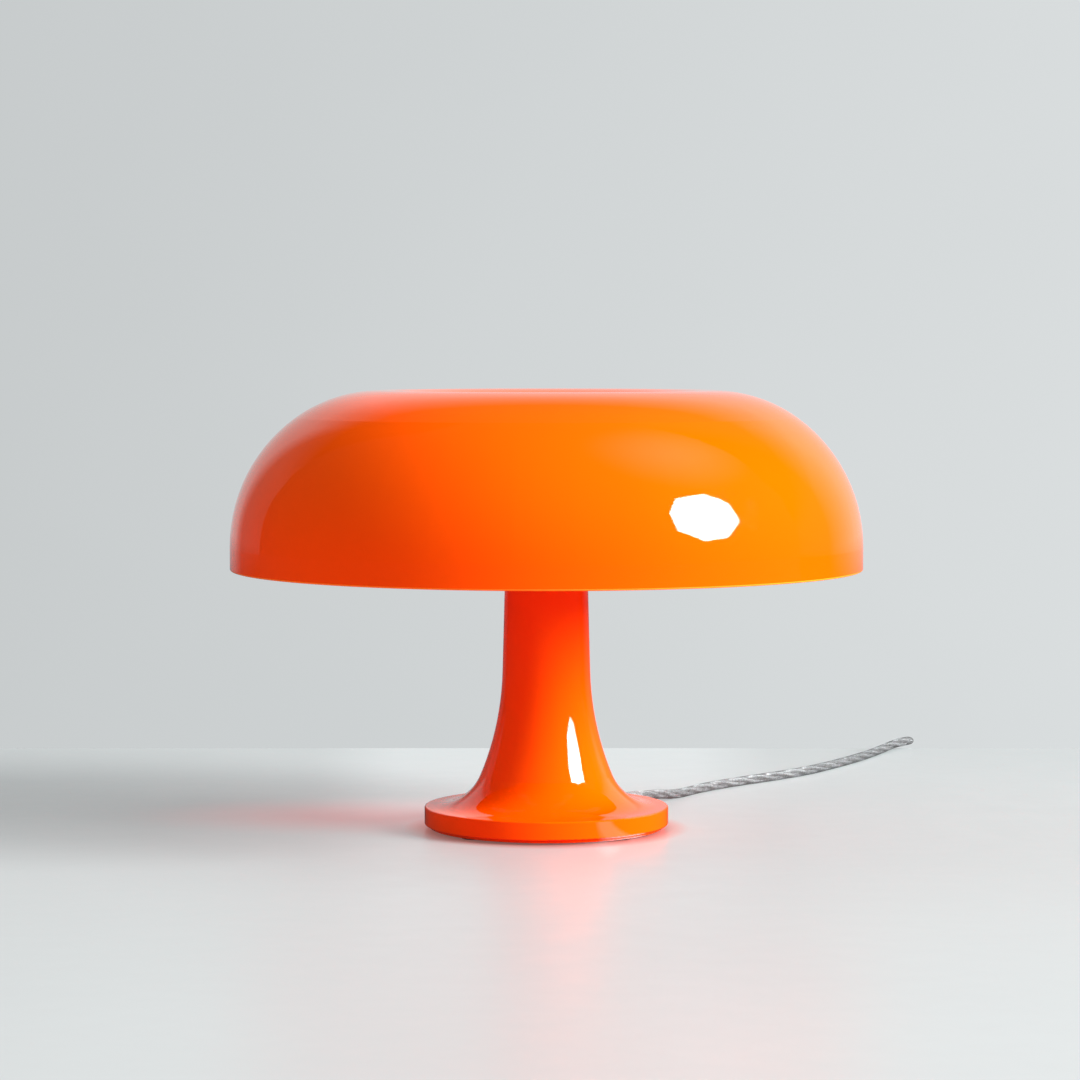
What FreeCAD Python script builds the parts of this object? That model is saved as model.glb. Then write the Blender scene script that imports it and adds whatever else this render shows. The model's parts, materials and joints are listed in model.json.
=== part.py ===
"""Mushroom table lamp: a dished shade on a flared moulded base, four bulbs, and a mains lead.

Millimetres, +Z up, origin at the centre of the base where it meets the table, front towards -Y.
"""
import FreeCAD
import Part
import math
import os

# ---------------------------------------------------------------- driving dimensions
# shade moulding
SHADE_RADIUS = 160.0
SHADE_WALL = 3.0
SHADE_RIM_Z = 132.5
SHADE_SKIRT = 11.8            # straight band above the rim
SHADE_SIDE_RADIUS = 80.0      # arc from the skirt to the shoulder
SHADE_SIDE_TURN = 54.0        # degrees that this arc turns
SHADE_DISH_RADIUS = 18.0      # arc between the dish wall and its flat seat
SHADE_SEAT_MARGIN = 8.85      # flat seat beyond the knob
SHADE_SEAT_HEIGHT = 49.12     # top of the seat over the lampholder spider
SHADE_EDGE = 0.9              # rounding of the rim
SHADE_HOLE_PLAY = 0.3         # shade hole around the tie tube

# base and stem moulding
BASE_RADIUS = 62.0
BASE_TOP_Z = 11.7
BASE_UNDERSIDE_Z = 2.4
BASE_LAND = 5.2               # flat ring between the rim and the flare
BASE_EDGE = 0.7
BASE_SKIRT_WALL = 3.2
BODY_WALL = 3.0
FLARE_RADIUS = 25.0
FLARE_TURN = 67.4             # degrees from level to the neck
NECK_RADIUS = 148.3
STEM_DRAFT = 1.5              # degrees
STEM_TOP_Z = 146.0

# base cover, feet and screws
FOOT_HEIGHT = 0.8             # table to the underside of the cover
FOOT_RADIUS = 6.0
FOOT_INSET = 8.6              # a pad's middle inside the cover's flange
FOOT_SUNK = 0.6
FOOT_COUNT = 4
COVER_PLATE = 2.2
COVER_FLANGE_SETBACK = 2.4    # cover flange inside the base rim
COVER_PLAY = 0.3
COVER_RING_HEIGHT = 1.2
COVER_RING_WALL = 2.0
BOSS_INSET = 18.8             # a boss's middle inside the skirt's bore
BOSS_RADIUS = 4.0
BOSS_COUNT = 3
BOSS_FIRST = 90.0             # degrees from +X
BOSS_PLAY = 1.0               # ballast hole around a boss
COVER_SCREW_RADIUS = 1.45
COVER_SCREW_LENGTH = 9.0
COVER_SCREW_HEAD_RADIUS = 2.8
COVER_SCREW_HEAD = 1.5
COVER_SCREW_SLOT = 0.7
COVER_SCREW_SLOT_DEPTH = 0.6

# ballast
BALLAST_FIT = 0.3
BALLAST_BOTTOM_Z = 5.0
BALLAST_TOP_Z = 44.0
BALLAST_RECESS_RADIUS = 17.0
BALLAST_RECESS_TOP_Z = 22.0

# tie tube, nuts and washers
TUBE_RADIUS = 5.0
TUBE_BORE_RADIUS = 3.6
TUBE_BOTTOM_Z = 13.5
TUBE_PLAY = 0.3
TUBE_ABOVE_SEAT = 7.0         # tube above the shade's seat
NUT_ACROSS_FLATS = 17.0
NUT_HEIGHT = 5.0
WASHER_RADIUS = 13.0
WASHER_THICKNESS = 1.6
SLOT_WIDTH = 6.0              # wire slot in the tube's side
SLOT_HEIGHT = 9.0
SLOT_ABOVE_NUT = 1.0

# stem cap and lampholder spider
CAP_THICKNESS = 3.0
CAP_SPIGOT = 6.0
CAP_PLAY = 0.3
SPIDER_SHEET = 1.5
SPIDER_DISC_RADIUS = 24.0
SPIDER_EAR_REACH = 33.5       # axis to the outer face of an ear
SPIDER_EAR_WIDTH = 24.0
SPIDER_EAR_HEIGHT = 31.0
SPIDER_BEND_RADIUS = 2.5
HOLDER_COUNT = 4
HOLDER_FIRST = 45.0           # degrees from +X
HOLDER_HEIGHT = 16.0          # a lampholder's middle over the spider

# lampholder and bulb, both of the small screw size
HOLDER_RADIUS = 13.8
HOLDER_MOUTH_RADIUS = 12.3
HOLDER_LENGTH = 28.5
HOLDER_CHAMFER = 1.0
HOLDER_STEP = 17.0
HOLDER_STEP_SLOPE = 1.5       # height of the cone between the two diameters
HOLDER_LIP = 0.6
HOLDER_FLOOR = 4.0
SHELL_BORE_RADIUS = 7.05
SHELL_WALL = 0.6
SHELL_LENGTH = 15.0
HOLDER_MOUTH_PLAY = 0.8       # around the bulb's neck
CONTACT_WIDTH = 5.0
CONTACT_THICKNESS = 1.0
HOLDER_SCREW_RADIUS = 1.9
HOLDER_SCREW_LENGTH = 3.6
HOLDER_SCREW_HEAD_RADIUS = 3.4
HOLDER_SCREW_HEAD = 2.2
HOLDER_SCREW_CHAMFER = 0.8
BULB_CAP_PLAY = 0.08
BULB_CAP_LENGTH = 18.0
BULB_CAP_STUD = 2.4
BULB_CAP_STUD_RADIUS = 3.0
BULB_CAP_STUD_RIM = 0.8
BULB_NECK_RADIUS = 8.5
BULB_NECK_LENGTH = 9.0
BULB_RADIUS = 22.5
BULB_SHOULDER_RADIUS = 20.0
BULB_GAP = 0.4                # stud to the centre contact

# shade seat and knob
SEAT_RADIUS = 21.0
SEAT_PLATE = 2.0
GASKET_THICKNESS = 1.6
KNOB_RADIUS = 15.0
KNOB_HEIGHT = 13.0
KNOB_DOME = 3.5
KNOB_CHAMFER = 0.8
KNOB_SCALLOPS = 12
KNOB_SCALLOP_RADIUS = 2.6
KNOB_SCALLOP_DEPTH = 0.9
INSERT_RADIUS = 7.5
INSERT_PLAY = 0.05
INSERT_CEILING = 3.4          # tube's end to the top of the insert
INSERT_END_GAP = 1.6          # tube's end to the bottom of the thread

# wiring in the stem
TERMINAL_LENGTH = 17.0
TERMINAL_WIDTH = 14.0
TERMINAL_HEIGHT = 11.0
TERMINAL_X = 9.8
TERMINAL_GROOVE = 1.6
TERMINAL_GROOVE_DEPTH = 2.5
TERMINAL_WIRE_NEAR = 4.0      # wires into the block, from its near and its far end
TERMINAL_WIRE_FAR = 3.0
CORE_RADIUS = 1.1
CORE_SPREAD = 1.5
CORE_BEND = 3.0
HOLDER_WIRE_RADIUS = 1.4
HOLDER_WIRE_BEND = 4.0
HOLDER_WIRE_RISE = 25.0       # above the spider
JACKET_ABOVE_SPIDER = 1.5

# mains lead
CORD_RADIUS = 2.5
CORD_FLOOR = 0.05             # clearance of the lying lead over the table
EXIT_ANGLE = 55.0             # degrees from +X, towards the back
EXIT_Z = 6.6
ENTRY_BEND = 10.0             # bend from the base up into the tie tube
CHANNEL_WIDTH = 8.0
CHANNEL_TOP_Z = 11.5
GLAND_RADIUS = 3.9
GLAND_TIP_RADIUS = 3.15
GLAND_NECK_RADIUS = 3.0
GLAND_FLANGE_RADIUS = 3.4
GLAND_FLANGE = 1.6
GLAND_LENGTH = 22.0
GLAND_PLAY = 0.1
GLAND_HEAD_START = 0.35       # head outside the round skirt
GLAND_HEAD_END = 2.5
CLAMP_AT = 30.0               # lead clamp from the lamp's axis
CLAMP_LENGTH = 8.0
CLAMP_WIDTH = 22.0
CLAMP_SCREW_SPREAD = 15.0
CLAMP_UNDER_LEAD = 1.0
CLAMP_SCREW_RADIUS = 1.4
CLAMP_SCREW_LENGTH = 6.0
CLAMP_SCREW_HEAD_RADIUS = 2.5
CLAMP_SCREW_HEAD = 1.2

CORD_STRAIGHT = 15.0          # the lead runs straight this far at each fitting
# lead, from the gland to the switch: each point is (x, y, z)
LEAD_POINTS = [
    (70.0, 106.0, 2.65),
    (84.5, 134.0, 2.55),
    (105.0, 159.5, 2.6),
    (128.5, 184.0, 2.55),
    (150.5, 209.5, 2.6),
    (169.0, 240.5, 2.55),
    (187.0, 273.5, 2.6),
    (202.0, 306.0, 2.9),
    (215.0, 331.0, 4.6),
    (233.0, 349.0, 4.6),
    (236.6, 374.7, 2.6),
    (222.5, 399.0, 2.8),
]
# lead, from the switch to the coil
RUN_POINTS = [
    (44.0, 430.8, 4.2),
    (24.0, 432.8, 3.5),
]
# lead, from the coil to the plug
TAIL_POINTS = [
    (-49.0, 433.9, 7.4),
]

# coil of the length that is put away
COIL_CENTRE_X = -14.0
COIL_TOP_Y = 433.0
COIL_OUTER_RADIUS = 37.9      # centre line of the outermost turn
COIL_PITCH = 5.7              # turn to turn
COIL_LAYER_RISE = 5.65        # layer to layer
COIL_TURNS_A_LAYER = 2.75
COIL_STEP = 90                # degrees between the points of the biarcs
COIL_LIFT = 0.9               # lower layer over the table, for the tie
COIL_LEAD = 5.0               # straight ends
COIL_GAP_STEP = 1.5           # between the points on which the gap is measured
TIE_ANGLE = 215.0
TIE_WIDTH = 6.0
TIE_THICKNESS = 0.7
TIE_PLAY = 0.3
TIE_CORNER = 2.5
TIE_INNER_CORNER = 2.0
TIE_TAIL = 9.0
TIE_TAIL_RADIUS = 1.3
TIE_TAIL_BELOW_TOP = 2.0
TIE_TAIL_SLOPE = 0.25

# switch on the lead
SWITCH_X = 129.7
SWITCH_Y = 419.1
SWITCH_HEADING = 172.0        # degrees from +X, from the lamp side to the plug side
SWITCH_LENGTH = 60.0
SWITCH_WIDTH = 25.0
SWITCH_END_WIDTH = 15.0
SWITCH_HEIGHT = 15.0
SWITCH_SPLIT = 7.0
SWITCH_WALL = 2.0
SWITCH_CAVITY_SPREAD = 2.0    # cavity wider than the end faces allow
SWITCH_EDGE = 2.5
SWITCH_RELIEF = 20.0
SWITCH_RELIEF_RADIUS = 4.6
SWITCH_RELIEF_TIP = 3.2
SWITCH_RELIEF_SEAT = 4.0
SWITCH_RELIEF_COLLAR = 1.8
SWITCH_RELIEF_GROOVE = 1.4
SWITCH_RELIEF_HEAD = 3.0
SWITCH_SCREW_X = 22.0
SWITCH_SCREW_RADIUS = 1.3
SWITCH_SCREW_HEAD_RADIUS = 2.4
SWITCH_SCREW_HEAD = 1.6
SWITCH_SCREW_SUNK = 0.4
SWITCH_SCREW_BELOW_TOP = 4.0
SWITCH_PILLAR_WALL = 1.6
ROCKER_REACH = 8.0            # pivot to the rocker's round ends
ROCKER_WIDTH = 10.0
ROCKER_PLAY = 0.4
ROCKER_TILT = 7.0             # degrees each side of level
ROCKER_PIVOT_Z = 12.0
ROCKER_END_RISE = 4.2         # pivot to the end of a pressed face
ROCKER_MIDDLE_RISE = 3.5
ROCKER_SKIRT = 2.2
ROCKER_PIN_RADIUS = 1.25
ROCKER_PIN_PLAY = 0.06
ROCKER_PIN_HOLD = 2.0         # pin in the case, each side
TERMINAL_BLOCK_LENGTH = 7.0
TERMINAL_BLOCK_SIDE = 5.0
TERMINAL_BLOCK_OVERLAP = 1.2  # block under the rocker's window

# two-pin plug, laid pins towards -X
PLUG_X = -79.0
PLUG_Y = 433.9
PLUG_LENGTH = 34.0
PLUG_WIDTH = 35.0
PLUG_REAR_WIDTH = 16.0
PLUG_REAR_DROP = 1.5
PLUG_WAIST = 5.0              # narrower than the front, in the grip
PLUG_WAIST_AT = 0.55          # share of the length
PLUG_HEIGHT = 13.7
PLUG_CORNER = 5.5
PLUG_RELIEF = 20.0
PLUG_RELIEF_RADIUS = 4.6
PLUG_RELIEF_TIP = 3.1
PIN_SPREAD = 18.6
PIN_RADIUS = 2.0
PIN_LENGTH = 19.0
PIN_SLEEVE = 10.0
PIN_SLEEVE_RADIUS = 1.9
PIN_CORE_RADIUS = 1.4
PIN_SEAT = 8.0
PIN_ROUND = 1.2


# ---------------------------------------------------------------- geometry helpers
X_AXIS = FreeCAD.Vector(1, 0, 0)
Y_AXIS = FreeCAD.Vector(0, 1, 0)
Z_AXIS = FreeCAD.Vector(0, 0, 1)
ORIGIN = FreeCAD.Vector(0, 0, 0)


def vec(x, y, z=0.0):
    return FreeCAD.Vector(x, y, z)


def polar(centre, radius, degrees):
    """A point of a circle in an outline's plane."""
    angle = math.radians(degrees)
    return (centre[0] + radius * math.cos(angle), centre[1] + radius * math.sin(angle))


def arc(centre, radius, start, end):
    """An outline step: the arc's middle point and its end."""
    return ("arc", polar(centre, radius, (start + end) / 2), polar(centre, radius, end))


def outline_wire(steps, place):
    """A closed wire from a start point, straight steps (a, b) and arc steps."""
    edges = []
    first = steps[0]
    here = first
    for step in steps[1:] + [first]:
        if step[0] == "arc":
            edges.append(Part.Arc(place(*here), place(*step[1]), place(*step[2])).toShape())
            here = step[2]
        elif math.dist(here, step) > 1e-6:
            edges.append(Part.makeLine(place(*here), place(*step)))
            here = step
    return Part.Wire(edges)


def turned(steps):
    """Revolves an outline of (radius, height) steps about the Z axis."""
    face = Part.Face(outline_wire(steps, lambda r, z: vec(r, 0, z)))
    return face.revolve(ORIGIN, Z_AXIS, 360)


def cylinder(radius, bottom, top, x=0.0, y=0.0):
    return Part.makeCylinder(radius, top - bottom, vec(x, y, bottom), Z_AXIS)


def ring(outer, inner, bottom, top):
    return cylinder(outer, bottom, top).cut(cylinder(inner, bottom - 1, top + 1))


def box(x_low, x_high, y_low, y_high, z_low, z_high):
    size = (x_high - x_low, y_high - y_low, z_high - z_low)
    return Part.makeBox(size[0], size[1], size[2], vec(x_low, y_low, z_low))


def turned_about_z(shape, degrees):
    copy = shape.copy()
    copy.rotate(ORIGIN, Z_AXIS, degrees)
    return copy


def laid_along(shape, origin, heading):
    """Turns a shape made along +X to a heading in plan, then moves it."""
    copy = turned_about_z(shape, heading)
    copy.translate(origin)
    return copy


def pointed_out(shape, distance, height, heading):
    """Lays a shape made up the Z axis along a radius of the lamp."""
    copy = shape.copy()
    copy.rotate(ORIGIN, Y_AXIS, 90)
    copy.translate(vec(distance, 0, height))
    return turned_about_z(copy, heading)


def hexagon_nut(bottom, height, hole):
    corners = [polar((0, 0), NUT_CORNER, 60 * k) for k in range(7)]
    blank = Part.Face(Part.makePolygon([vec(x, y, bottom) for x, y in corners]))
    blank = blank.extrude(vec(0, 0, height))
    chamfer = NUT_CORNER - NUT_ACROSS_FLATS / 2
    cone_low = turned([
        (0, bottom), (NUT_CORNER - chamfer, bottom), (NUT_CORNER, bottom + chamfer / 2),
        (NUT_CORNER, bottom + height - chamfer / 2), (NUT_CORNER - chamfer, bottom + height),
        (0, bottom + height),
    ])
    return blank.common(cone_low).cut(cylinder(hole, bottom - 1, bottom + height + 1))


def around(count, first):
    return [first + 360.0 * k / count for k in range(count)]


def export(name, shape):
    os.makedirs("parts", exist_ok=True)
    shape.exportStep("parts/%s.step" % name)


# ---------------------------------------------------------------- sizes that follow
def crown_radius(side_centre, dish_centre):
    """Radius of the arc that runs on from the side arc and ends tangent to the dish arc."""
    across = dish_centre[0] - side_centre[0]
    rise = dish_centre[1] - side_centre[1]
    turn = math.radians(SHADE_SIDE_TURN)
    reach = SHADE_SIDE_RADIUS + SHADE_DISH_RADIUS
    along = across * math.cos(turn) + rise * math.sin(turn)
    set_in = (reach ** 2 - across ** 2 - rise ** 2) / (2 * (reach - along))
    return SHADE_SIDE_RADIUS - set_in


# base, cover and stem
SKIRT_BORE = BASE_RADIUS - BASE_SKIRT_WALL
BOSS_CIRCLE = SKIRT_BORE - BOSS_INSET
COVER_FLANGE_RADIUS = BASE_RADIUS - COVER_FLANGE_SETBACK
COVER_SPIGOT_RADIUS = SKIRT_BORE - COVER_PLAY
COVER_TOP_Z = FOOT_HEIGHT + COVER_PLATE
FOOT_CIRCLE = COVER_FLANGE_RADIUS - FOOT_INSET
FLARE_CENTRE = (BASE_RADIUS - BASE_LAND, BASE_TOP_Z + FLARE_RADIUS)
FLARE_END = -90.0 - FLARE_TURN
NECK_CENTRE = polar(FLARE_CENTRE, FLARE_RADIUS - NECK_RADIUS, FLARE_END)
NECK_END = -180.0 + STEM_DRAFT

# shade: its seat, the centres of its arcs, and what stands on and under the seat
SPIDER_Z = STEM_TOP_Z + CAP_THICKNESS
SPIDER_TOP_Z = SPIDER_Z + SPIDER_SHEET
SEAT_TOP_Z = SPIDER_TOP_Z + SHADE_SEAT_HEIGHT
SIDE_CENTRE = (SHADE_RADIUS - SHADE_SIDE_RADIUS, SHADE_RIM_Z + SHADE_SKIRT)
DISH_CENTRE = (KNOB_RADIUS + SHADE_SEAT_MARGIN, SEAT_TOP_Z + SHADE_DISH_RADIUS)
SHADE_CROWN_RADIUS = crown_radius(SIDE_CENTRE, DISH_CENTRE)
CROWN_CENTRE = polar(SIDE_CENTRE, SHADE_SIDE_RADIUS - SHADE_CROWN_RADIUS, SHADE_SIDE_TURN)
CROWN_END = math.degrees(math.atan2(DISH_CENTRE[1] - CROWN_CENTRE[1], DISH_CENTRE[0] - CROWN_CENTRE[0]))
SEAT_UNDER_Z = SEAT_TOP_Z - SHADE_WALL
SEAT_PLATE_Z = SEAT_UNDER_Z - GASKET_THICKNESS - SEAT_PLATE
TUBE_TOP_Z = SEAT_TOP_Z + TUBE_ABOVE_SEAT
INSERT_TOP_Z = TUBE_TOP_Z + INSERT_CEILING
SHADE_BORE = TUBE_RADIUS + SHADE_HOLE_PLAY
TUBE_HOLE = TUBE_RADIUS + TUBE_PLAY
NUT_CORNER = NUT_ACROSS_FLATS / math.sqrt(3)

# lampholders and bulbs
HOLDER_Z = SPIDER_Z + HOLDER_HEIGHT
WIRE_Z = SPIDER_Z + HOLDER_WIRE_RISE
SHELL_RADIUS = SHELL_BORE_RADIUS + SHELL_WALL
CAP_RADIUS = SHELL_BORE_RADIUS - BULB_CAP_PLAY
STUD_TIP = HOLDER_FLOOR + CONTACT_THICKNESS + BULB_GAP
CAP_START = STUD_TIP + BULB_CAP_STUD
CAP_END = CAP_START + BULB_CAP_LENGTH
SHELL_END = CAP_START + SHELL_LENGTH

# lead, its coil, the switch and the plug
LYING_Z = CORD_RADIUS + CORD_FLOOR
CLAMP_BOTTOM_Z = EXIT_Z - CORD_RADIUS - CLAMP_UNDER_LEAD
GLAND_ROOT = BASE_RADIUS
GLAND_TIP = GLAND_ROOT + GLAND_LENGTH
COIL_CENTRE_Y = COIL_TOP_Y - COIL_OUTER_RADIUS
COIL_LOW_Z = LYING_Z + COIL_LIFT
REVERSE_FROM = 2 * math.pi * COIL_TURNS_A_LAYER
REVERSE_TO = REVERSE_FROM + math.pi
COIL_END = REVERSE_TO + REVERSE_FROM
TURN_RATE = COIL_PITCH / (2 * math.pi)
SWITCH_ORIGIN = vec(SWITCH_X, SWITCH_Y)
SWITCH_AXIS_Z = SWITCH_SPLIT
PLUG_AXIS_Z = PLUG_HEIGHT / 2


# ---------------------------------------------------------------- shade
def make_shade():
    """One revolved moulding: skirt, side arc, crown arc, and the dish with its flat seat."""
    bottom = SHADE_RIM_Z
    inner = SHADE_RADIUS - SHADE_WALL
    outer_corner = (SHADE_RADIUS - SHADE_EDGE, bottom + SHADE_EDGE)
    inner_corner = (inner + SHADE_EDGE, bottom + SHADE_EDGE)
    wall = SHADE_WALL
    steps = [
        (SHADE_BORE, SEAT_UNDER_Z),
        (DISH_CENTRE[0], SEAT_UNDER_Z),
        arc(DISH_CENTRE, SHADE_DISH_RADIUS + wall, -90, CROWN_END - 180),
        arc(CROWN_CENTRE, SHADE_CROWN_RADIUS - wall, CROWN_END, SHADE_SIDE_TURN),
        arc(SIDE_CENTRE, SHADE_SIDE_RADIUS - wall, SHADE_SIDE_TURN, 0),
        (inner, bottom + SHADE_EDGE),
        arc(inner_corner, SHADE_EDGE, 180, 270),
        (SHADE_RADIUS - SHADE_EDGE, bottom),
        arc(outer_corner, SHADE_EDGE, -90, 0),
        (SHADE_RADIUS, SIDE_CENTRE[1]),
        arc(SIDE_CENTRE, SHADE_SIDE_RADIUS, 0, SHADE_SIDE_TURN),
        arc(CROWN_CENTRE, SHADE_CROWN_RADIUS, SHADE_SIDE_TURN, CROWN_END),
        arc(DISH_CENTRE, SHADE_DISH_RADIUS, CROWN_END - 180, -90),
        (SHADE_BORE, SEAT_TOP_Z),
    ]
    return turned(steps)


# ---------------------------------------------------------------- base and stem
def stem_radius(height, inset):
    """Radius of the drafted stem above the neck, measured a wall thickness inside it."""
    start = polar(NECK_CENTRE, NECK_RADIUS + inset, NECK_END)
    return start[0] - (height - start[1]) * math.tan(math.radians(STEM_DRAFT))


def body_curve(inset, top):
    """Flare, neck and stem, from the land up to a height, a given depth inside the surface."""
    return [
        arc(FLARE_CENTRE, FLARE_RADIUS + inset, -90, FLARE_END),
        arc(NECK_CENTRE, NECK_RADIUS + inset, FLARE_END, NECK_END),
        (stem_radius(top, inset), top),
    ]


def body_envelope():
    """The solid outer form of the base and stem."""
    low = BASE_UNDERSIDE_Z
    high = BASE_TOP_Z
    edge = BASE_EDGE
    steps = [
        (0, low),
        (BASE_RADIUS - edge, low),
        arc((BASE_RADIUS - edge, low + edge), edge, -90, 0),
        (BASE_RADIUS, high - edge),
        arc((BASE_RADIUS - edge, high - edge), edge, 0, 90),
        (FLARE_CENTRE[0], high),
    ]
    return turned(steps + body_curve(0, STEM_TOP_Z) + [(0, STEM_TOP_Z)])


def body_hollow():
    low = BASE_UNDERSIDE_Z - 1
    top = STEM_TOP_Z + 1
    steps = [(0, low), (SKIRT_BORE, low), (SKIRT_BORE, BASE_TOP_Z - BODY_WALL)]
    steps.append((FLARE_CENTRE[0], BASE_TOP_Z - BODY_WALL))
    return turned(steps + body_curve(BODY_WALL, top) + [(0, top)])


def make_body_shell():
    """Thin moulding with screw bosses under the flare and a hole for the gland."""
    envelope = body_envelope()
    shell = envelope.cut(body_hollow())
    for angle in around(BOSS_COUNT, BOSS_FIRST):
        x, y = polar((0, 0), BOSS_CIRCLE, angle)
        boss = cylinder(BOSS_RADIUS, COVER_TOP_Z, STEM_TOP_Z, x, y).common(envelope)
        boss = boss.cut(cylinder(COVER_SCREW_RADIUS, 0, COVER_TOP_Z + COVER_SCREW_LENGTH, x, y))
        shell = shell.fuse(boss)
    return shell.cut(gland_room()).removeSplitter()


def gland_room():
    """Hole for the gland's neck, and a channel under the flare for its flange and the lead."""
    half = GLAND_FLANGE_RADIUS + GLAND_PLAY
    channel = box(BOSS_CIRCLE + BOSS_RADIUS, SKIRT_BORE - GLAND_PLAY, -half, half, 0, EXIT_Z + half)
    hole = Part.makeCylinder(GLAND_NECK_RADIUS + GLAND_PLAY, 3 * BASE_SKIRT_WALL)
    hole = pointed_out(hole, SKIRT_BORE - BASE_SKIRT_WALL, EXIT_Z, EXIT_ANGLE)
    return [turned_about_z(channel, EXIT_ANGLE), hole]


def make_ballast():
    """Cast disc and cone that follows the inside of the flare."""
    hollow = TUBE_HOLE
    depth = BODY_WALL + BALLAST_FIT
    rim = SKIRT_BORE - BALLAST_FIT
    top = BASE_TOP_Z - depth
    steps = [
        (hollow, BALLAST_RECESS_TOP_Z),
        (BALLAST_RECESS_RADIUS, BALLAST_RECESS_TOP_Z),
        (BALLAST_RECESS_RADIUS, BALLAST_BOTTOM_Z),
        (rim, BALLAST_BOTTOM_Z),
        (rim, top),
        (FLARE_CENTRE[0], top),
        arc(FLARE_CENTRE, FLARE_RADIUS + depth, -90, FLARE_END),
        ballast_neck_arc(depth),
        (hollow, BALLAST_TOP_Z),
    ]
    ballast = turned(steps)
    for angle in around(BOSS_COUNT, BOSS_FIRST):
        x, y = polar((0, 0), BOSS_CIRCLE, angle)
        ballast = ballast.cut(cylinder(BOSS_RADIUS + BOSS_PLAY, 0, BALLAST_TOP_Z, x, y))
    half = CHANNEL_WIDTH / 2
    channel = box(0, BASE_RADIUS, -half, half, 0, CHANNEL_TOP_Z)
    ballast = ballast.cut(turned_about_z(channel, EXIT_ANGLE))
    for side in (-1, 1):
        thread = cylinder(CLAMP_SCREW_RADIUS, CLAMP_BOTTOM_Z, CLAMP_BOTTOM_Z + CLAMP_SCREW_LENGTH,
                          CLAMP_AT, side * CLAMP_SCREW_SPREAD / 2)
        ballast = ballast.cut(turned_about_z(thread, EXIT_ANGLE))
    return ballast


def ballast_neck_arc(depth):
    """The neck's arc, stopped at the ballast's top."""
    radius = NECK_RADIUS + depth
    rise = (NECK_CENTRE[1] - BALLAST_TOP_Z) / radius
    return arc(NECK_CENTRE, radius, FLARE_END, -180 + math.degrees(math.asin(rise)))


# ---------------------------------------------------------------- cover and feet
def make_base_cover():
    """Round plate that spigots into the skirt, with a stiffening ring and countersinks."""
    steps = [
        (0, FOOT_HEIGHT),
        (COVER_FLANGE_RADIUS - BASE_EDGE, FOOT_HEIGHT),
        arc((COVER_FLANGE_RADIUS - BASE_EDGE, FOOT_HEIGHT + BASE_EDGE), BASE_EDGE, -90, 0),
        (COVER_FLANGE_RADIUS, BASE_UNDERSIDE_Z),
        (COVER_SPIGOT_RADIUS, BASE_UNDERSIDE_Z),
        (COVER_SPIGOT_RADIUS, COVER_TOP_Z + COVER_RING_HEIGHT),
        (COVER_SPIGOT_RADIUS - COVER_RING_WALL, COVER_TOP_Z + COVER_RING_HEIGHT),
        (COVER_SPIGOT_RADIUS - COVER_RING_WALL, COVER_TOP_Z),
        (0, COVER_TOP_Z),
    ]
    cover = turned(steps)
    for x, y in foot_places():
        cover = cover.cut(cylinder(FOOT_RADIUS, 0, FOOT_HEIGHT + FOOT_SUNK, x, y))
    for angle in around(BOSS_COUNT, BOSS_FIRST):
        x, y = polar((0, 0), BOSS_CIRCLE, angle)
        cover = cover.cut(cover_screw_blank(x, y))
    half = GLAND_FLANGE_RADIUS + COVER_PLAY
    notch = box(SKIRT_BORE / 2, BASE_RADIUS, -half, half, COVER_TOP_Z, BASE_TOP_Z)
    return cover.cut(turned_about_z(notch, EXIT_ANGLE))


def foot_places():
    return [polar((0, 0), FOOT_CIRCLE, a) for a in around(FOOT_COUNT, 180.0 / FOOT_COUNT)]


def make_foot_pads():
    return Part.makeCompound(
        [cylinder(FOOT_RADIUS, 0, FOOT_HEIGHT + FOOT_SUNK, x, y) for x, y in foot_places()])


def cover_screw_blank(x, y):
    shank = cylinder(COVER_SCREW_RADIUS, FOOT_HEIGHT, COVER_TOP_Z + COVER_SCREW_LENGTH, x, y)
    head = Part.makeCone(COVER_SCREW_HEAD_RADIUS, COVER_SCREW_RADIUS, COVER_SCREW_HEAD,
                         vec(x, y, FOOT_HEIGHT), Z_AXIS)
    return shank.fuse(head).removeSplitter()


def make_cover_screws():
    screws = []
    for angle in around(BOSS_COUNT, BOSS_FIRST):
        x, y = polar((0, 0), BOSS_CIRCLE, angle)
        slot = box(x - COVER_SCREW_HEAD_RADIUS, x + COVER_SCREW_HEAD_RADIUS,
                   y - COVER_SCREW_SLOT / 2, y + COVER_SCREW_SLOT / 2,
                   0, FOOT_HEIGHT + COVER_SCREW_SLOT_DEPTH)
        screws.append(cover_screw_blank(x, y).cut(slot))
    return Part.makeCompound(screws)


# ---------------------------------------------------------------- tie tube and spider
def make_tie_tube():
    """Threaded tube from the ballast to the knob, with a slot where the cores leave it."""
    tube = ring(TUBE_RADIUS, TUBE_BORE_RADIUS, TUBE_BOTTOM_Z, TUBE_TOP_Z)
    slot_low = SPIDER_TOP_Z + NUT_HEIGHT + SLOT_ABOVE_NUT
    slot = box(0, 2 * TUBE_RADIUS, -SLOT_WIDTH / 2, SLOT_WIDTH / 2, slot_low, slot_low + SLOT_HEIGHT)
    return tube.cut(slot)


def make_stem_cap():
    """Turned plug that closes the stem and centres the tube."""
    spigot_low = STEM_TOP_Z - CAP_SPIGOT
    spigot = stem_radius(STEM_TOP_Z, BODY_WALL) - CAP_PLAY
    steps = [
        (TUBE_HOLE, spigot_low), (spigot, spigot_low), (spigot, STEM_TOP_Z),
        (stem_radius(STEM_TOP_Z, 0), STEM_TOP_Z), (stem_radius(STEM_TOP_Z, 0), SPIDER_Z),
        (TUBE_HOLE, SPIDER_Z),
    ]
    return turned(steps)


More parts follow.
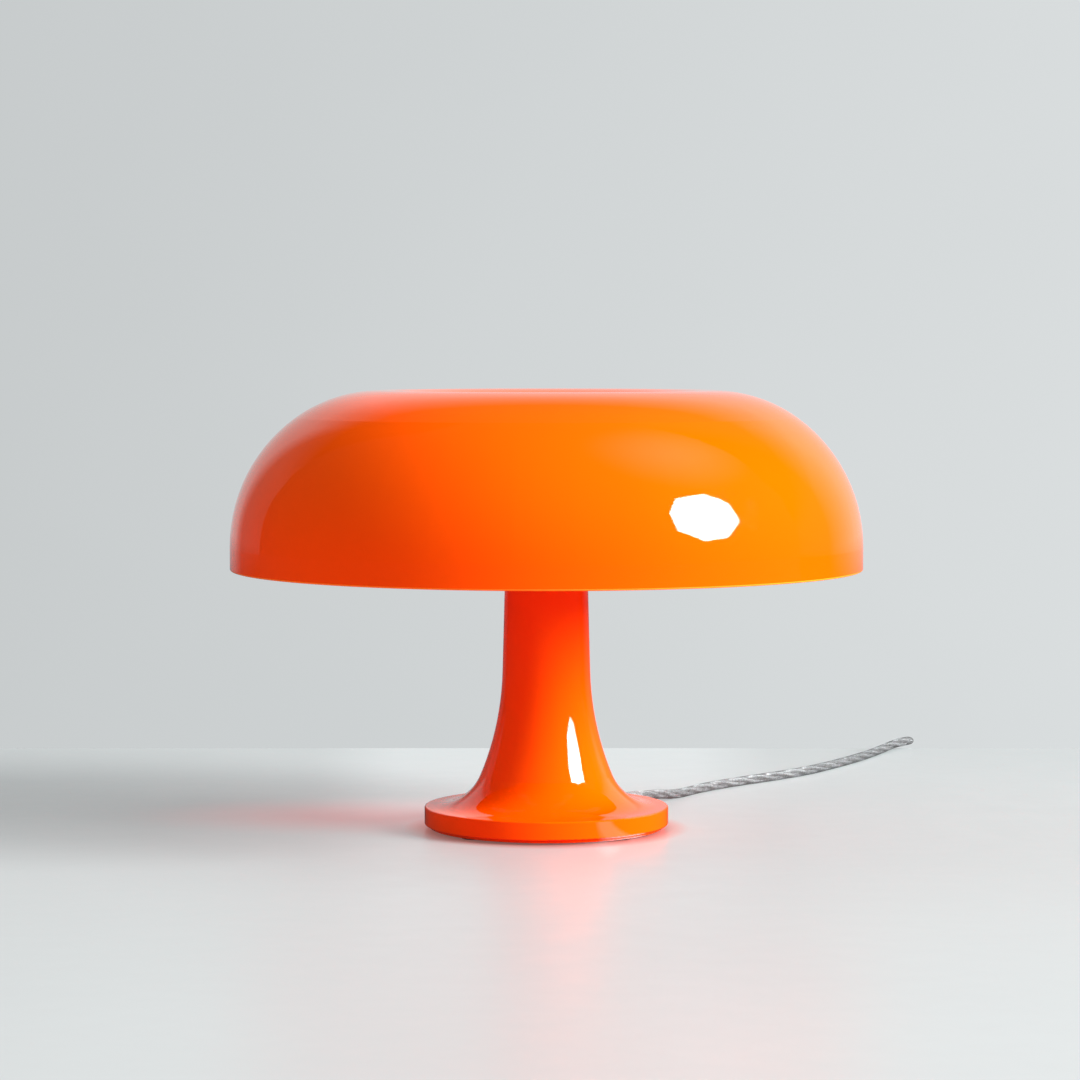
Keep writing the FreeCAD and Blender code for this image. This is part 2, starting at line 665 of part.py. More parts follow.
def spider_ear():
    """One arm of the pressed sheet: level, then bent up into an ear with a rounded top."""
    bend = SPIDER_BEND_RADIUS
    reach = SPIDER_EAR_REACH
    sheet = SPIDER_SHEET
    low = SPIDER_Z
    top = low + SPIDER_EAR_HEIGHT
    centre = (reach - bend, low + bend)
    steps = [
        (0, low),
        (reach - bend, low),
        arc(centre, bend, -90, 0),
        (reach, top),
        (reach - sheet, top),
        (reach - sheet, low + bend),
        arc(centre, bend - sheet, 0, -90),
        (0, low + sheet),
    ]
    half = SPIDER_EAR_WIDTH / 2
    face = Part.Face(outline_wire(steps, lambda x, z: vec(x, -half, z)))
    ear = face.extrude(vec(0, SPIDER_EAR_WIDTH, 0))
    crown = Part.makeCylinder(half, 2 * reach, vec(0, 0, top - half), X_AXIS)
    keep = box(-1, reach + 1, -half, half, low - 1, top - half).fuse(crown)
    ear = ear.common(keep)
    screw = Part.makeCylinder(HOLDER_SCREW_RADIUS, reach, vec(reach / 2, 0, HOLDER_Z), X_AXIS)
    wire = Part.makeCylinder(HOLDER_WIRE_RADIUS, reach, vec(reach / 2, 0, WIRE_Z), X_AXIS)
    return ear.cut(screw).cut(wire)


def make_spider():
    """Four-way lampholder carrier."""
    spider = cylinder(SPIDER_DISC_RADIUS, SPIDER_Z, SPIDER_TOP_Z)
    for angle in around(HOLDER_COUNT, HOLDER_FIRST):
        spider = spider.fuse(turned_about_z(spider_ear(), angle))
    return spider.cut(cylinder(TUBE_HOLE, 0, SPIDER_TOP_Z + 1)).removeSplitter()


# ---------------------------------------------------------------- lampholders and bulbs
def lampholder():
    """Stepped moulded sleeve, made up the Z axis with its back on the ear."""
    mouth = BULB_NECK_RADIUS + HOLDER_MOUTH_PLAY
    steps = [
        (0, 0), (HOLDER_RADIUS - HOLDER_CHAMFER, 0), (HOLDER_RADIUS, HOLDER_CHAMFER),
        (HOLDER_RADIUS, HOLDER_STEP), (HOLDER_MOUTH_RADIUS, HOLDER_STEP + HOLDER_STEP_SLOPE),
        (HOLDER_MOUTH_RADIUS, HOLDER_LENGTH - HOLDER_LIP),
        (HOLDER_MOUTH_RADIUS - HOLDER_LIP, HOLDER_LENGTH), (mouth, HOLDER_LENGTH),
        (mouth, SHELL_END), (SHELL_RADIUS, SHELL_END),
        (SHELL_RADIUS, HOLDER_FLOOR), (0, HOLDER_FLOOR),
    ]
    screw = Part.makeCylinder(HOLDER_SCREW_RADIUS, HOLDER_SCREW_LENGTH - SPIDER_SHEET)
    return turned(steps).cut(screw)


def screw_shell():
    return ring(SHELL_RADIUS, SHELL_BORE_RADIUS, CAP_START, SHELL_END)


def centre_contact():
    half = CONTACT_WIDTH / 2
    return box(-half, half, -half, half, HOLDER_FLOOR, HOLDER_FLOOR + CONTACT_THICKNESS)


def bulb_cap():
    tip = BULB_CAP_STUD_RADIUS
    steps = [
        (0, STUD_TIP), (tip, STUD_TIP), (tip, STUD_TIP + BULB_CAP_STUD_RIM), (CAP_RADIUS, CAP_START),
        (CAP_RADIUS, CAP_END), (0, CAP_END),
    ]
    return turned(steps)


def bulb_glass():
    """Neck, shoulder arc and globe, tangent to each other."""
    neck_top = CAP_END + BULB_NECK_LENGTH
    shoulder_centre = (BULB_NECK_RADIUS + BULB_SHOULDER_RADIUS, neck_top)
    reach = BULB_SHOULDER_RADIUS + BULB_RADIUS
    rise = math.sqrt(reach ** 2 - shoulder_centre[0] ** 2)
    globe_centre = (0, neck_top + rise)
    meet = math.degrees(math.atan2(rise, shoulder_centre[0]))
    steps = [
        (0, CAP_END), (BULB_NECK_RADIUS, CAP_END), (BULB_NECK_RADIUS, neck_top),
        arc(shoulder_centre, BULB_SHOULDER_RADIUS, 180, 180 - meet),
        arc(globe_centre, BULB_RADIUS, -meet, 90),
    ]
    return turned(steps)


def holder_screw():
    sheet = SPIDER_SHEET
    low = -sheet - HOLDER_SCREW_HEAD
    chamfer = HOLDER_SCREW_CHAMFER
    steps = [
        (0, low), (HOLDER_SCREW_HEAD_RADIUS - chamfer, low),
        (HOLDER_SCREW_HEAD_RADIUS, low + chamfer), (HOLDER_SCREW_HEAD_RADIUS, -sheet),
        (HOLDER_SCREW_RADIUS, -sheet), (HOLDER_SCREW_RADIUS, HOLDER_SCREW_LENGTH - sheet),
        (0, HOLDER_SCREW_LENGTH - sheet),
    ]
    return turned(steps)


def on_ear(shape, angle):
    """Seats a lampholder piece on the outer face of the ear at this angle."""
    return pointed_out(shape, SPIDER_EAR_REACH, HOLDER_Z, angle)


def export_holders():
    sides = ["rear_right", "rear_left", "front_left", "front_right"]
    angles = around(HOLDER_COUNT, HOLDER_FIRST)
    for side, angle in zip(sides, angles):
        export("lampholder_" + side, on_ear(lampholder(), angle))
        export("bulb_cap_" + side, on_ear(bulb_cap(), angle))
        export("bulb_glass_" + side, on_ear(bulb_glass(), angle))
    for name, make in (("holder_screw_shells", screw_shell), ("holder_contacts", centre_contact),
                       ("holder_screws", holder_screw)):
        export(name, Part.makeCompound([on_ear(make(), angle) for angle in angles]))


# ---------------------------------------------------------------- shade seat and knob
def make_knob():
    """Scalloped, domed knob with a pocket for its brass insert."""
    bottom = SEAT_TOP_Z
    top = bottom + KNOB_HEIGHT
    shoulder = top - KNOB_DOME
    dome_radius = (KNOB_RADIUS ** 2 + KNOB_DOME ** 2) / (2 * KNOB_DOME)
    half_angle = math.degrees(math.asin(KNOB_RADIUS / dome_radius))
    steps = [
        (0, bottom), (KNOB_RADIUS - KNOB_CHAMFER, bottom), (KNOB_RADIUS, bottom + KNOB_CHAMFER),
        (KNOB_RADIUS, shoulder), arc((0, top - dome_radius), dome_radius, 90 - half_angle, 90),
    ]
    knob = turned(steps)
    reach = KNOB_RADIUS + KNOB_SCALLOP_RADIUS - KNOB_SCALLOP_DEPTH
    for angle in around(KNOB_SCALLOPS, 0):
        x, y = polar((0, 0), reach, angle)
        knob = knob.cut(cylinder(KNOB_SCALLOP_RADIUS, bottom - 1, top + 1, x, y))
    return knob.cut(cylinder(INSERT_RADIUS, bottom - 1, INSERT_TOP_Z))


def make_knob_insert():
    blank = cylinder(INSERT_RADIUS, SEAT_TOP_Z, INSERT_TOP_Z)
    thread = cylinder(TUBE_RADIUS + INSERT_PLAY, SEAT_TOP_Z - 1, TUBE_TOP_Z + INSERT_END_GAP)
    return blank.cut(thread)


# ---------------------------------------------------------------- wires and lead inside
def swept(radius, edges, start, direction):
    """A round tube along a wire of tangent edges."""
    path = Part.Wire(edges)
    profile = Part.Wire([Part.makeCircle(radius, start, direction)])
    return path.makePipeShell([profile], True, False)


def corner_arc(before, corner, after, radius):
    """The arc that rounds a corner, with the points where it starts and ends."""
    back = (before - corner).normalize()
    ahead = (after - corner).normalize()
    turn = math.pi - back.getAngle(ahead)
    trim = radius * math.tan(turn / 2)
    start = corner + back * trim
    end = corner + ahead * trim
    middle_way = (back + ahead).normalize()
    middle = corner + middle_way * (radius / math.cos(turn / 2) - radius)
    return start, middle, end


def rounded_path(points, radii):
    """Straight runs joined by tangent arcs, one radius for each inner point."""
    edges = []
    here = points[0]
    for k in range(1, len(points) - 1):
        start, middle, end = corner_arc(points[k - 1], points[k], points[k + 1], radii[k - 1])
        if (start - here).Length > 1e-4:
            edges.append(Part.LineSegment(here, start).toShape())
        edges.append(Part.Arc(start, middle, end).toShape())
        here = end
    if (points[-1] - here).Length > 1e-4:
        edges.append(Part.LineSegment(here, points[-1]).toShape())
    return edges


def bent_wire(radius, points, bend):
    edges = rounded_path(points, [bend] * (len(points) - 2))
    return swept(radius, edges, points[0], points[1] - points[0])


def along_exit(distance, height):
    """A point on the vertical plane in which the lead leaves the base."""
    x, y = polar((0, 0), distance, EXIT_ANGLE)
    return vec(x, y, height)


def make_inner_lead():
    """The jacketed lead from the gland's tip, under the ballast and up inside the tube."""
    points = [along_exit(GLAND_TIP, EXIT_Z), vec(0, 0, EXIT_Z),
              vec(0, 0, SPIDER_TOP_Z + JACKET_ABOVE_SPIDER)]
    return bent_wire(CORD_RADIUS, points, ENTRY_BEND)


def make_core_wires():
    """Two cores from the jacket's end, out of the tube's slot to the terminal block."""
    low = SPIDER_TOP_Z + JACKET_ABOVE_SPIDER
    level = SPIDER_TOP_Z + TERMINAL_HEIGHT - 2 * CORE_RADIUS
    wires = []
    for side in (-1, 1):
        y = side * CORE_SPREAD
        points = [vec(0, y, low), vec(0, y, level), vec(TERMINAL_X, y, level)]
        wires.append(bent_wire(CORE_RADIUS, points, CORE_BEND))
    return Part.makeCompound(wires)


def make_terminal_block():
    x_low = TERMINAL_X
    x_high = TERMINAL_X + TERMINAL_LENGTH
    half = TERMINAL_WIDTH / 2
    top = SPIDER_TOP_Z + TERMINAL_HEIGHT
    block = box(x_low, x_high, -half, half, SPIDER_TOP_Z, top)
    groove = box(x_low - 1, x_high + 1, -TERMINAL_GROOVE / 2, TERMINAL_GROOVE / 2,
                 top - TERMINAL_GROOVE_DEPTH, top + 1)
    return block.cut(groove)


def make_holder_wires():
    """One twin wire from the terminal block to the back of each lampholder."""
    start_z = SPIDER_TOP_Z + TERMINAL_HEIGHT
    wires = []
    for k, angle in enumerate(around(HOLDER_COUNT, HOLDER_FIRST)):
        upper = k < HOLDER_COUNT / 2
        outer = k in (0, HOLDER_COUNT - 1)
        x = TERMINAL_X + (TERMINAL_LENGTH - TERMINAL_WIRE_FAR if outer else TERMINAL_WIRE_NEAR)
        y = TERMINAL_WIDTH / 4 if upper else -TERMINAL_WIDTH / 4
        end_x, end_y = polar((0, 0), SPIDER_EAR_REACH, angle)
        turn_x, turn_y = polar((0, 0), SPIDER_EAR_REACH - 2 * SPIDER_BEND_RADIUS, angle)
        points = [vec(x, y, start_z), vec(x, y, WIRE_Z), vec(turn_x, turn_y, WIRE_Z),
                  vec(end_x, end_y, WIRE_Z)]
        wires.append(bent_wire(HOLDER_WIRE_RADIUS, points, HOLDER_WIRE_BEND / 2))
    return Part.makeCompound(wires)


def make_gland():
    """Tapered strain relief that snaps through the skirt, with the lead through it."""
    inside = SKIRT_BORE - GLAND_ROOT
    steps = [
        (CORD_RADIUS, inside - GLAND_FLANGE), (GLAND_FLANGE_RADIUS, inside - GLAND_FLANGE),
        (GLAND_FLANGE_RADIUS, inside - GLAND_PLAY), (GLAND_NECK_RADIUS, inside - GLAND_PLAY),
        (GLAND_NECK_RADIUS, GLAND_HEAD_START), (GLAND_RADIUS, GLAND_HEAD_START),
        (GLAND_RADIUS, GLAND_HEAD_END), (GLAND_TIP_RADIUS, GLAND_LENGTH),
        (CORD_RADIUS, GLAND_LENGTH),
    ]
    return pointed_out(turned(steps), GLAND_ROOT, EXIT_Z, EXIT_ANGLE)


def make_lead_clamp():
    """Saddle that holds the lead in the ballast's channel."""
    half_length = CLAMP_LENGTH / 2
    half_width = CLAMP_WIDTH / 2
    plate = box(CLAMP_AT - half_length, CLAMP_AT + half_length, -half_width, half_width,
                CLAMP_BOTTOM_Z, BALLAST_BOTTOM_Z)
    groove = Part.makeCylinder(CORD_RADIUS, 2 * BASE_RADIUS, vec(0, 0, EXIT_Z), X_AXIS)
    plate = plate.cut(groove)
    for side in (-1, 1):
        plate = plate.cut(clamp_screw(side))
    return turned_about_z(plate, EXIT_ANGLE)


def clamp_screw(side):
    y = side * CLAMP_SCREW_SPREAD / 2
    shank = cylinder(CLAMP_SCREW_RADIUS, CLAMP_BOTTOM_Z, CLAMP_BOTTOM_Z + CLAMP_SCREW_LENGTH,
                     CLAMP_AT, y)
    head = Part.makeCone(CLAMP_SCREW_HEAD_RADIUS, CLAMP_SCREW_RADIUS, CLAMP_SCREW_HEAD,
                         vec(CLAMP_AT, y, CLAMP_BOTTOM_Z), Z_AXIS)
    return shank.fuse(head).removeSplitter()


def make_clamp_screws():
    return turned_about_z(Part.makeCompound([clamp_screw(-1), clamp_screw(1)]), EXIT_ANGLE)


# ---------------------------------------------------------------- lead outside
def level_way(heading):
    """A level unit vector."""
    x, y = polar((0, 0), 1.0, heading)
    return vec(x, y, 0)


def lead_tube(name, start, start_way, middle, end, end_way):
    """Tube with arcs as large as the runs allow. Prints its radii and compares its volume."""
    points = [start, start + start_way * CORD_STRAIGHT]
    points += [vec(*p) for p in middle]
    points += [end - end_way * CORD_STRAIGHT, end]
    radii = []
    for k in range(1, len(points) - 1):
        back = points[k - 1] - points[k]
        ahead = points[k + 1] - points[k]
        turn = math.pi - back.getAngle(ahead)
        radii.append(0.45 * min(back.Length, ahead.Length) / math.tan(turn / 2))
    edges = rounded_path(points, radii)
    tube = swept(CORD_RADIUS, edges, points[0], points[1] - points[0])
    length = sum(edge.Length for edge in edges)
    share = tube.Volume / (math.pi * CORD_RADIUS ** 2 * length)
    runs = [(points[k + 1] - points[k]).Length for k in range(len(points) - 1)]
    print("%s: length %.1f, volume over section times length %.4f" % (name, length, share))
    print("  runs", [round(run) for run in runs], "radii", [round(radius) for radius in radii])
    export(name, tube)
    return length


def coil_radius_and_height(angle):
    """Spirals in on the lower layer, climbs in the half turn of the reverse, spirals out."""
    inner = COIL_OUTER_RADIUS - TURN_RATE * REVERSE_FROM
    if angle <= REVERSE_FROM:
        return COIL_OUTER_RADIUS - TURN_RATE * angle, 0.0
    if angle >= REVERSE_TO:
        return inner + TURN_RATE * (angle - REVERSE_TO), COIL_LAYER_RISE
    part = angle - REVERSE_FROM
    share = part / math.pi
    rise = share * share * (3 - 2 * share) * COIL_LAYER_RISE
    return inner - TURN_RATE * (part - part * part / math.pi), rise


def coil_point(angle):
    radius, rise = coil_radius_and_height(angle)
    direction = angle + math.pi / 2
    return vec(COIL_CENTRE_X + radius * math.cos(direction),
               COIL_CENTRE_Y + radius * math.sin(direction), COIL_LOW_Z + rise)


def coil_tangent(angle):
    step = 1e-4
    low = max(angle - step, 0.0)
    high = min(angle + step, COIL_END)
    return (coil_point(high) - coil_point(low)).normalize()


def biarc(start, start_way, end, end_way):
    """Two tangent arcs between two points with given directions, with equal handles."""
    chord = end - start
    ways = start_way + end_way
    a = 2 * (1 - start_way.dot(end_way))
    b = 2 * chord.dot(ways)
    c = -chord.dot(chord)
    handle = (-b + math.sqrt(b * b - 4 * a * c)) / (2 * a)
    corner_a = start + start_way * handle
    corner_b = end - end_way * handle
    joint = (corner_a + corner_b) * 0.5
    return [tangent_arc(start, corner_a, joint), tangent_arc(joint, corner_b, end)]


def tangent_arc(start, corner, end):
    half_chord = (end - start).Length / 2
    to_corner = corner - (start + end) * 0.5
    height = to_corner.Length
    handle = math.hypot(half_chord, height)
    sagitta = half_chord * (handle - half_chord) / height
    middle = (start + end) * 0.5 + to_corner * (sagitta / height)
    return Part.Arc(start, middle, end).toShape()


def coil_ends():
    """Where the straight ends of the coil start and stop."""
    first = coil_point(0)
    last = coil_point(COIL_END)
    return first - coil_tangent(0) * COIL_LEAD, last + coil_tangent(COIL_END) * COIL_LEAD


def make_coil():
    start, end = coil_ends()
    edges = [Part.LineSegment(start, coil_point(0)).toShape()]
    count = round(math.degrees(COIL_END) / COIL_STEP)
    angles = [COIL_END * k / count for k in range(count + 1)]
    for low, high in zip(angles, angles[1:]):
        edges += biarc(coil_point(low), coil_tangent(low), coil_point(high), coil_tangent(high))
    edges.append(Part.LineSegment(coil_point(COIL_END), end).toShape())
    coil = swept(CORD_RADIUS, edges, start, coil_tangent(0))
    length = sum(edge.Length for edge in edges)
    share = coil.Volume / (math.pi * CORD_RADIUS ** 2 * length)
    print("cord_coil: length %.1f, volume over section times length %.4f" % (length, share))
    print("  least gap to itself %.2f" % coil_gap(edges))
    export("cord_coil", coil)
    return length


def coil_gap(edges):
    """Least clear distance between turns, on points a millimetre or two apart."""
    points = []
    for edge in edges:
        points += edge.discretize(max(2, int(edge.Length / COIL_GAP_STEP)))[:-1]
    skip = int(3 * math.pi * CORD_RADIUS / COIL_GAP_STEP)
    least = 1e9
    for i, here in enumerate(points):
        for there in points[i + skip:]:
            least = min(least, (there - here).Length)
    return least - 2 * CORD_RADIUS


def edges_along_y(shape):
    return [edge for edge in shape.Edges if abs(edge.tangentAt(0).y) > 0.9]


def make_cord_tie():
    """Band round the bundle of turns, with its twisted tail."""
    heading = math.radians(TIE_ANGLE) - math.pi / 2
    radii = []
    turn = heading % (2 * math.pi)
    while turn <= COIL_END:
        radii.append(coil_radius_and_height(turn)[0])
        turn += 2 * math.pi
    inner = min(radii) - CORD_RADIUS - TIE_PLAY
    outer = max(radii) + CORD_RADIUS + TIE_PLAY
    low = COIL_LOW_Z - CORD_RADIUS - CORD_FLOOR - TIE_THICKNESS
    high = COIL_LOW_Z + COIL_LAYER_RISE + CORD_RADIUS + TIE_PLAY
    half = TIE_WIDTH / 2
    wall = TIE_THICKNESS
    band = box(inner - wall, outer + wall, -half, half, low, high + wall)
    band = band.makeFillet(TIE_CORNER, edges_along_y(band))
    hollow = box(inner, outer, -half - 1, half + 1, low + wall, high)
    hollow = hollow.makeFillet(TIE_INNER_CORNER, edges_along_y(hollow))
    tail = Part.makeCylinder(TIE_TAIL_RADIUS, TIE_TAIL, vec(outer + wall / 2, 0, high - TIE_TAIL_BELOW_TOP),
                             vec(1, 0, TIE_TAIL_SLOPE))
    band = band.cut(hollow).fuse(tail.cut(hollow))
    return laid_along(band, vec(COIL_CENTRE_X, COIL_CENTRE_Y, 0), TIE_ANGLE)


# ---------------------------------------------------------------- switch on the lead
def switch_blank():
    """Case outline in plan: widest in the middle, drawn in to both ends, soft top edges."""
    half = SWITCH_LENGTH / 2
    wide = SWITCH_WIDTH / 2
    narrow = SWITCH_END_WIDTH / 2
    steps = [
        (-half, -narrow), ("arc", (0, -wide), (half, -narrow)),
        (half, narrow), ("arc", (0, wide), (-half, narrow)),
    ]
    face = Part.Face(outline_wire(steps, lambda x, y: vec(x, y, 0)))
    blank = face.extrude(vec(0, 0, SWITCH_HEIGHT))
    rim = [e for e in blank.Edges if min(v.Z for v in e.Vertexes) > SWITCH_HEIGHT - 0.1]
    return blank.makeFillet(SWITCH_EDGE, rim)


def switch_cavity():
    wall = SWITCH_WALL
    long = SWITCH_LENGTH / 2 - 2 * wall - SWITCH_RELIEF_SEAT
    wide = (SWITCH_END_WIDTH + SWITCH_CAVITY_SPREAD) / 2 - wall
    return box(-long, long, -wide, wide, wall, SWITCH_HEIGHT - wall)


def switch_relief():
    """Tapered sleeve made up the Z axis, its collar at the origin inside the case."""
    steps = [(CORD_RADIUS, -SWITCH_RELIEF_SEAT)] + relief_root(0) + [
        (SWITCH_RELIEF_RADIUS, 0), (SWITCH_RELIEF_RADIUS, SWITCH_RELIEF_HEAD),
        (SWITCH_RELIEF_TIP, SWITCH_RELIEF), (CORD_RADIUS, SWITCH_RELIEF),
    ]
    return turned(steps)


def relief_root(end):
    """Outline of the collar and the neck that the case holds, up to a height."""
    low = -SWITCH_RELIEF_SEAT
    collar = low + SWITCH_RELIEF_COLLAR
    neck = SWITCH_RELIEF_RADIUS - SWITCH_RELIEF_GROOVE
    return [(SWITCH_RELIEF_RADIUS, low), (SWITCH_RELIEF_RADIUS, collar), (neck, collar), (neck, end)]


def relief_at(end):
    """The relief on the lamp side (-1) or on the plug side (1) of the switch."""
    relief = switch_relief()
    relief.rotate(ORIGIN, Y_AXIS, 90 * end)
    relief.translate(vec(end * SWITCH_LENGTH / 2, 0, SWITCH_AXIS_Z))
    return relief


def relief_room(end):
    """The relief's seat in the case, a close fit."""
    room = turned([(0, -SWITCH_RELIEF_SEAT)] + relief_root(1) + [(0, 1)])
    room.rotate(ORIGIN, Y_AXIS, 90 * end)
    room.translate(vec(end * SWITCH_LENGTH / 2, 0, SWITCH_AXIS_Z))
    return room


def rocker_window():
    reach = ROCKER_REACH + ROCKER_PLAY
    half = ROCKER_WIDTH / 2 + ROCKER_PLAY
    return box(-reach, reach, -half, half, SWITCH_WALL, SWITCH_HEIGHT + 1)


def switch_screw(side):
    x = side * SWITCH_SCREW_X
    low = SWITCH_SCREW_SUNK
    shank = cylinder(SWITCH_SCREW_RADIUS, low, SWITCH_HEIGHT - SWITCH_SCREW_BELOW_TOP, x, 0)
    head = cylinder(SWITCH_SCREW_HEAD_RADIUS, low, low + SWITCH_SCREW_HEAD, x, 0)
    return shank.fuse(head).removeSplitter()


def screw_room(side):
    x = side * SWITCH_SCREW_X
    return switch_screw(side).fuse(cylinder(SWITCH_SCREW_HEAD_RADIUS, -1, SWITCH_SCREW_SUNK, x, 0))


def switch_half(z_low, z_high):
    half = box(-SWITCH_LENGTH, SWITCH_LENGTH, -SWITCH_WIDTH, SWITCH_WIDTH, z_low, z_high)
    case = switch_blank().common(half).cut(switch_cavity())
    for side in (-1, 1):
        pillar = cylinder(SWITCH_SCREW_RADIUS + SWITCH_PILLAR_WALL, SWITCH_WALL,
                          SWITCH_HEIGHT - SWITCH_WALL, side * SWITCH_SCREW_X, 0).common(half)
        case = case.fuse(pillar).cut(screw_room(side)).cut(relief_room(side))
    return case.cut(rocker_window()).cut(rocker_pin())


def rocker_pin():
    reach = ROCKER_WIDTH / 2 + ROCKER_PLAY + ROCKER_PIN_HOLD
    return Part.makeCylinder(ROCKER_PIN_RADIUS, 2 * reach, vec(0, -reach, ROCKER_PIVOT_Z), Y_AXIS)


def make_rocker():
    """Two pressed faces that meet in a shallow vee, round ends about the pivot."""
    side = math.sqrt(ROCKER_REACH ** 2 - ROCKER_END_RISE ** 2)
    low = -math.sqrt(ROCKER_REACH ** 2 - ROCKER_SKIRT ** 2)
    steps = [
        (low, -ROCKER_SKIRT),
        ("arc", (-ROCKER_REACH, 0), (-side, ROCKER_END_RISE)),
        (0, ROCKER_MIDDLE_RISE),
        (side, ROCKER_END_RISE),
        ("arc", (ROCKER_REACH, 0), (-low, -ROCKER_SKIRT)),
    ]
    half = ROCKER_WIDTH / 2
    face = Part.Face(outline_wire(steps, lambda x, z: vec(x, -half, ROCKER_PIVOT_Z + z)))
    rocker = face.extrude(vec(0, ROCKER_WIDTH, 0))
    bore = Part.makeCylinder(ROCKER_PIN_RADIUS + ROCKER_PIN_PLAY, 3 * ROCKER_WIDTH,
                             vec(0, -1.5 * ROCKER_WIDTH, ROCKER_PIVOT_Z), Y_AXIS)
    rocker = rocker.cut(bore)
    rocker.rotate(vec(0, 0, ROCKER_PIVOT_Z), Y_AXIS, -ROCKER_TILT)
    return rocker


def make_switch_terminals():
    """Two brass clamps on the floor of the case, in line with the reliefs."""
    side = TERMINAL_BLOCK_SIDE
    blocks = []
    for end in (-1, 1):
        middle = end * (ROCKER_REACH + ROCKER_PLAY + TERMINAL_BLOCK_LENGTH / 2 - TERMINAL_BLOCK_OVERLAP)
        blocks.append(box(middle - TERMINAL_BLOCK_LENGTH / 2, middle + TERMINAL_BLOCK_LENGTH / 2,
                          -side / 2, side / 2, SWITCH_WALL, SWITCH_WALL + side))
    return Part.makeCompound(blocks)


def export_switch():
    pieces = {
        "switch_lower": switch_half(0, SWITCH_SPLIT),
        "switch_upper": switch_half(SWITCH_SPLIT, SWITCH_HEIGHT),
        "switch_rocker": make_rocker(),
        "switch_pin": rocker_pin(),
        "switch_terminals": make_switch_terminals(),
        "switch_screws": Part.makeCompound([switch_screw(-1), switch_screw(1)]),
        "switch_relief_lamp": relief_at(-1),
        "switch_relief_plug": relief_at(1),
    }
    for name, shape in pieces.items():
        export(name, laid_along(shape, SWITCH_ORIGIN, SWITCH_HEADING))


def switch_end(end):
    """Tip of a relief, where the free lead meets it."""
    reach = end * (SWITCH_LENGTH / 2 + SWITCH_RELIEF)
    x, y = polar((SWITCH_X, SWITCH_Y), reach, SWITCH_HEADING)
    return vec(x, y, SWITCH_AXIS_Z)


# ---------------------------------------------------------------- plug
def rounded_plate(x, width, height, corner):
    """A rounded rectangle in the YZ plane at x."""
    y = width / 2 - corner
    z = height / 2 - corner
    steps = [
        (y + corner, -z), (y + corner, z), arc((y, z), corner, 0, 90), (-y, z + corner),
        arc((-y, z), corner, 90, 180), (-y - corner, -z), arc((-y, -z), corner, 180, 270),
        (y, -z - corner), arc((y, -z), corner, -90, 0),
    ]
    return outline_wire(steps, lambda a, b: vec(x, a, PLUG_AXIS_Z + b))


def make_plug_body():
    """Flat two-pin moulding along +X: relief, waisted grip, front face and pin sleeves."""
    start = PLUG_RELIEF
    middle = start + PLUG_LENGTH * PLUG_WAIST_AT
    front = start + PLUG_LENGTH
    sections = [
        rounded_plate(start, PLUG_REAR_WIDTH, PLUG_HEIGHT - PLUG_REAR_DROP, PLUG_CORNER),
        rounded_plate(middle, PLUG_WIDTH - PLUG_WAIST, PLUG_HEIGHT, PLUG_CORNER),
        rounded_plate(front, PLUG_WIDTH, PLUG_HEIGHT, PLUG_CORNER),
    ]
    body = Part.makeLoft(sections, True, True)
    relief = Part.makeCone(PLUG_RELIEF_TIP, PLUG_RELIEF_RADIUS, PLUG_RELIEF + 1,
                           vec(0, 0, PLUG_AXIS_Z), X_AXIS)
    body = body.fuse(relief)
    for side in (-1, 1):
        y = side * PIN_SPREAD / 2
        sleeve = Part.makeCylinder(PIN_SLEEVE_RADIUS, PIN_SLEEVE + 1,
                                   vec(front - 1, y, PLUG_AXIS_Z), X_AXIS)
        body = body.fuse(sleeve)
    return body.cut(plug_pin_cores()).removeSplitter()


def plug_pin_cores():
    front = PLUG_RELIEF + PLUG_LENGTH
    cores = [Part.makeCylinder(PIN_CORE_RADIUS, PIN_SEAT + PIN_SLEEVE,
                               vec(front - PIN_SEAT, side * PIN_SPREAD / 2, PLUG_AXIS_Z),
                               X_AXIS) for side in (-1, 1)]
    return Part.makeCompound(cores)


def make_plug_pins():
    front = PLUG_RELIEF + PLUG_LENGTH
    pins = []
    for side, core in zip((-1, 1), plug_pin_cores().Solids):
        y = side * PIN_SPREAD / 2
        tip = Part.makeCylinder(PIN_RADIUS, PIN_LENGTH - PIN_SLEEVE,
                                vec(front + PIN_SLEEVE, y, PLUG_AXIS_Z), X_AXIS)
        end = [e for e in tip.Edges if e.BoundBox.XMin > front + PIN_LENGTH - 0.1]
        pins.append(core.fuse(tip.makeFillet(PIN_ROUND, end)).removeSplitter())
    return Part.makeCompound(pins)


def export_plug():
    origin = vec(PLUG_X, PLUG_Y, 0)
    export("plug_body", laid_along(make_plug_body(), origin, 180))
    export("plug_pins", laid_along(make_plug_pins(), origin, 180))


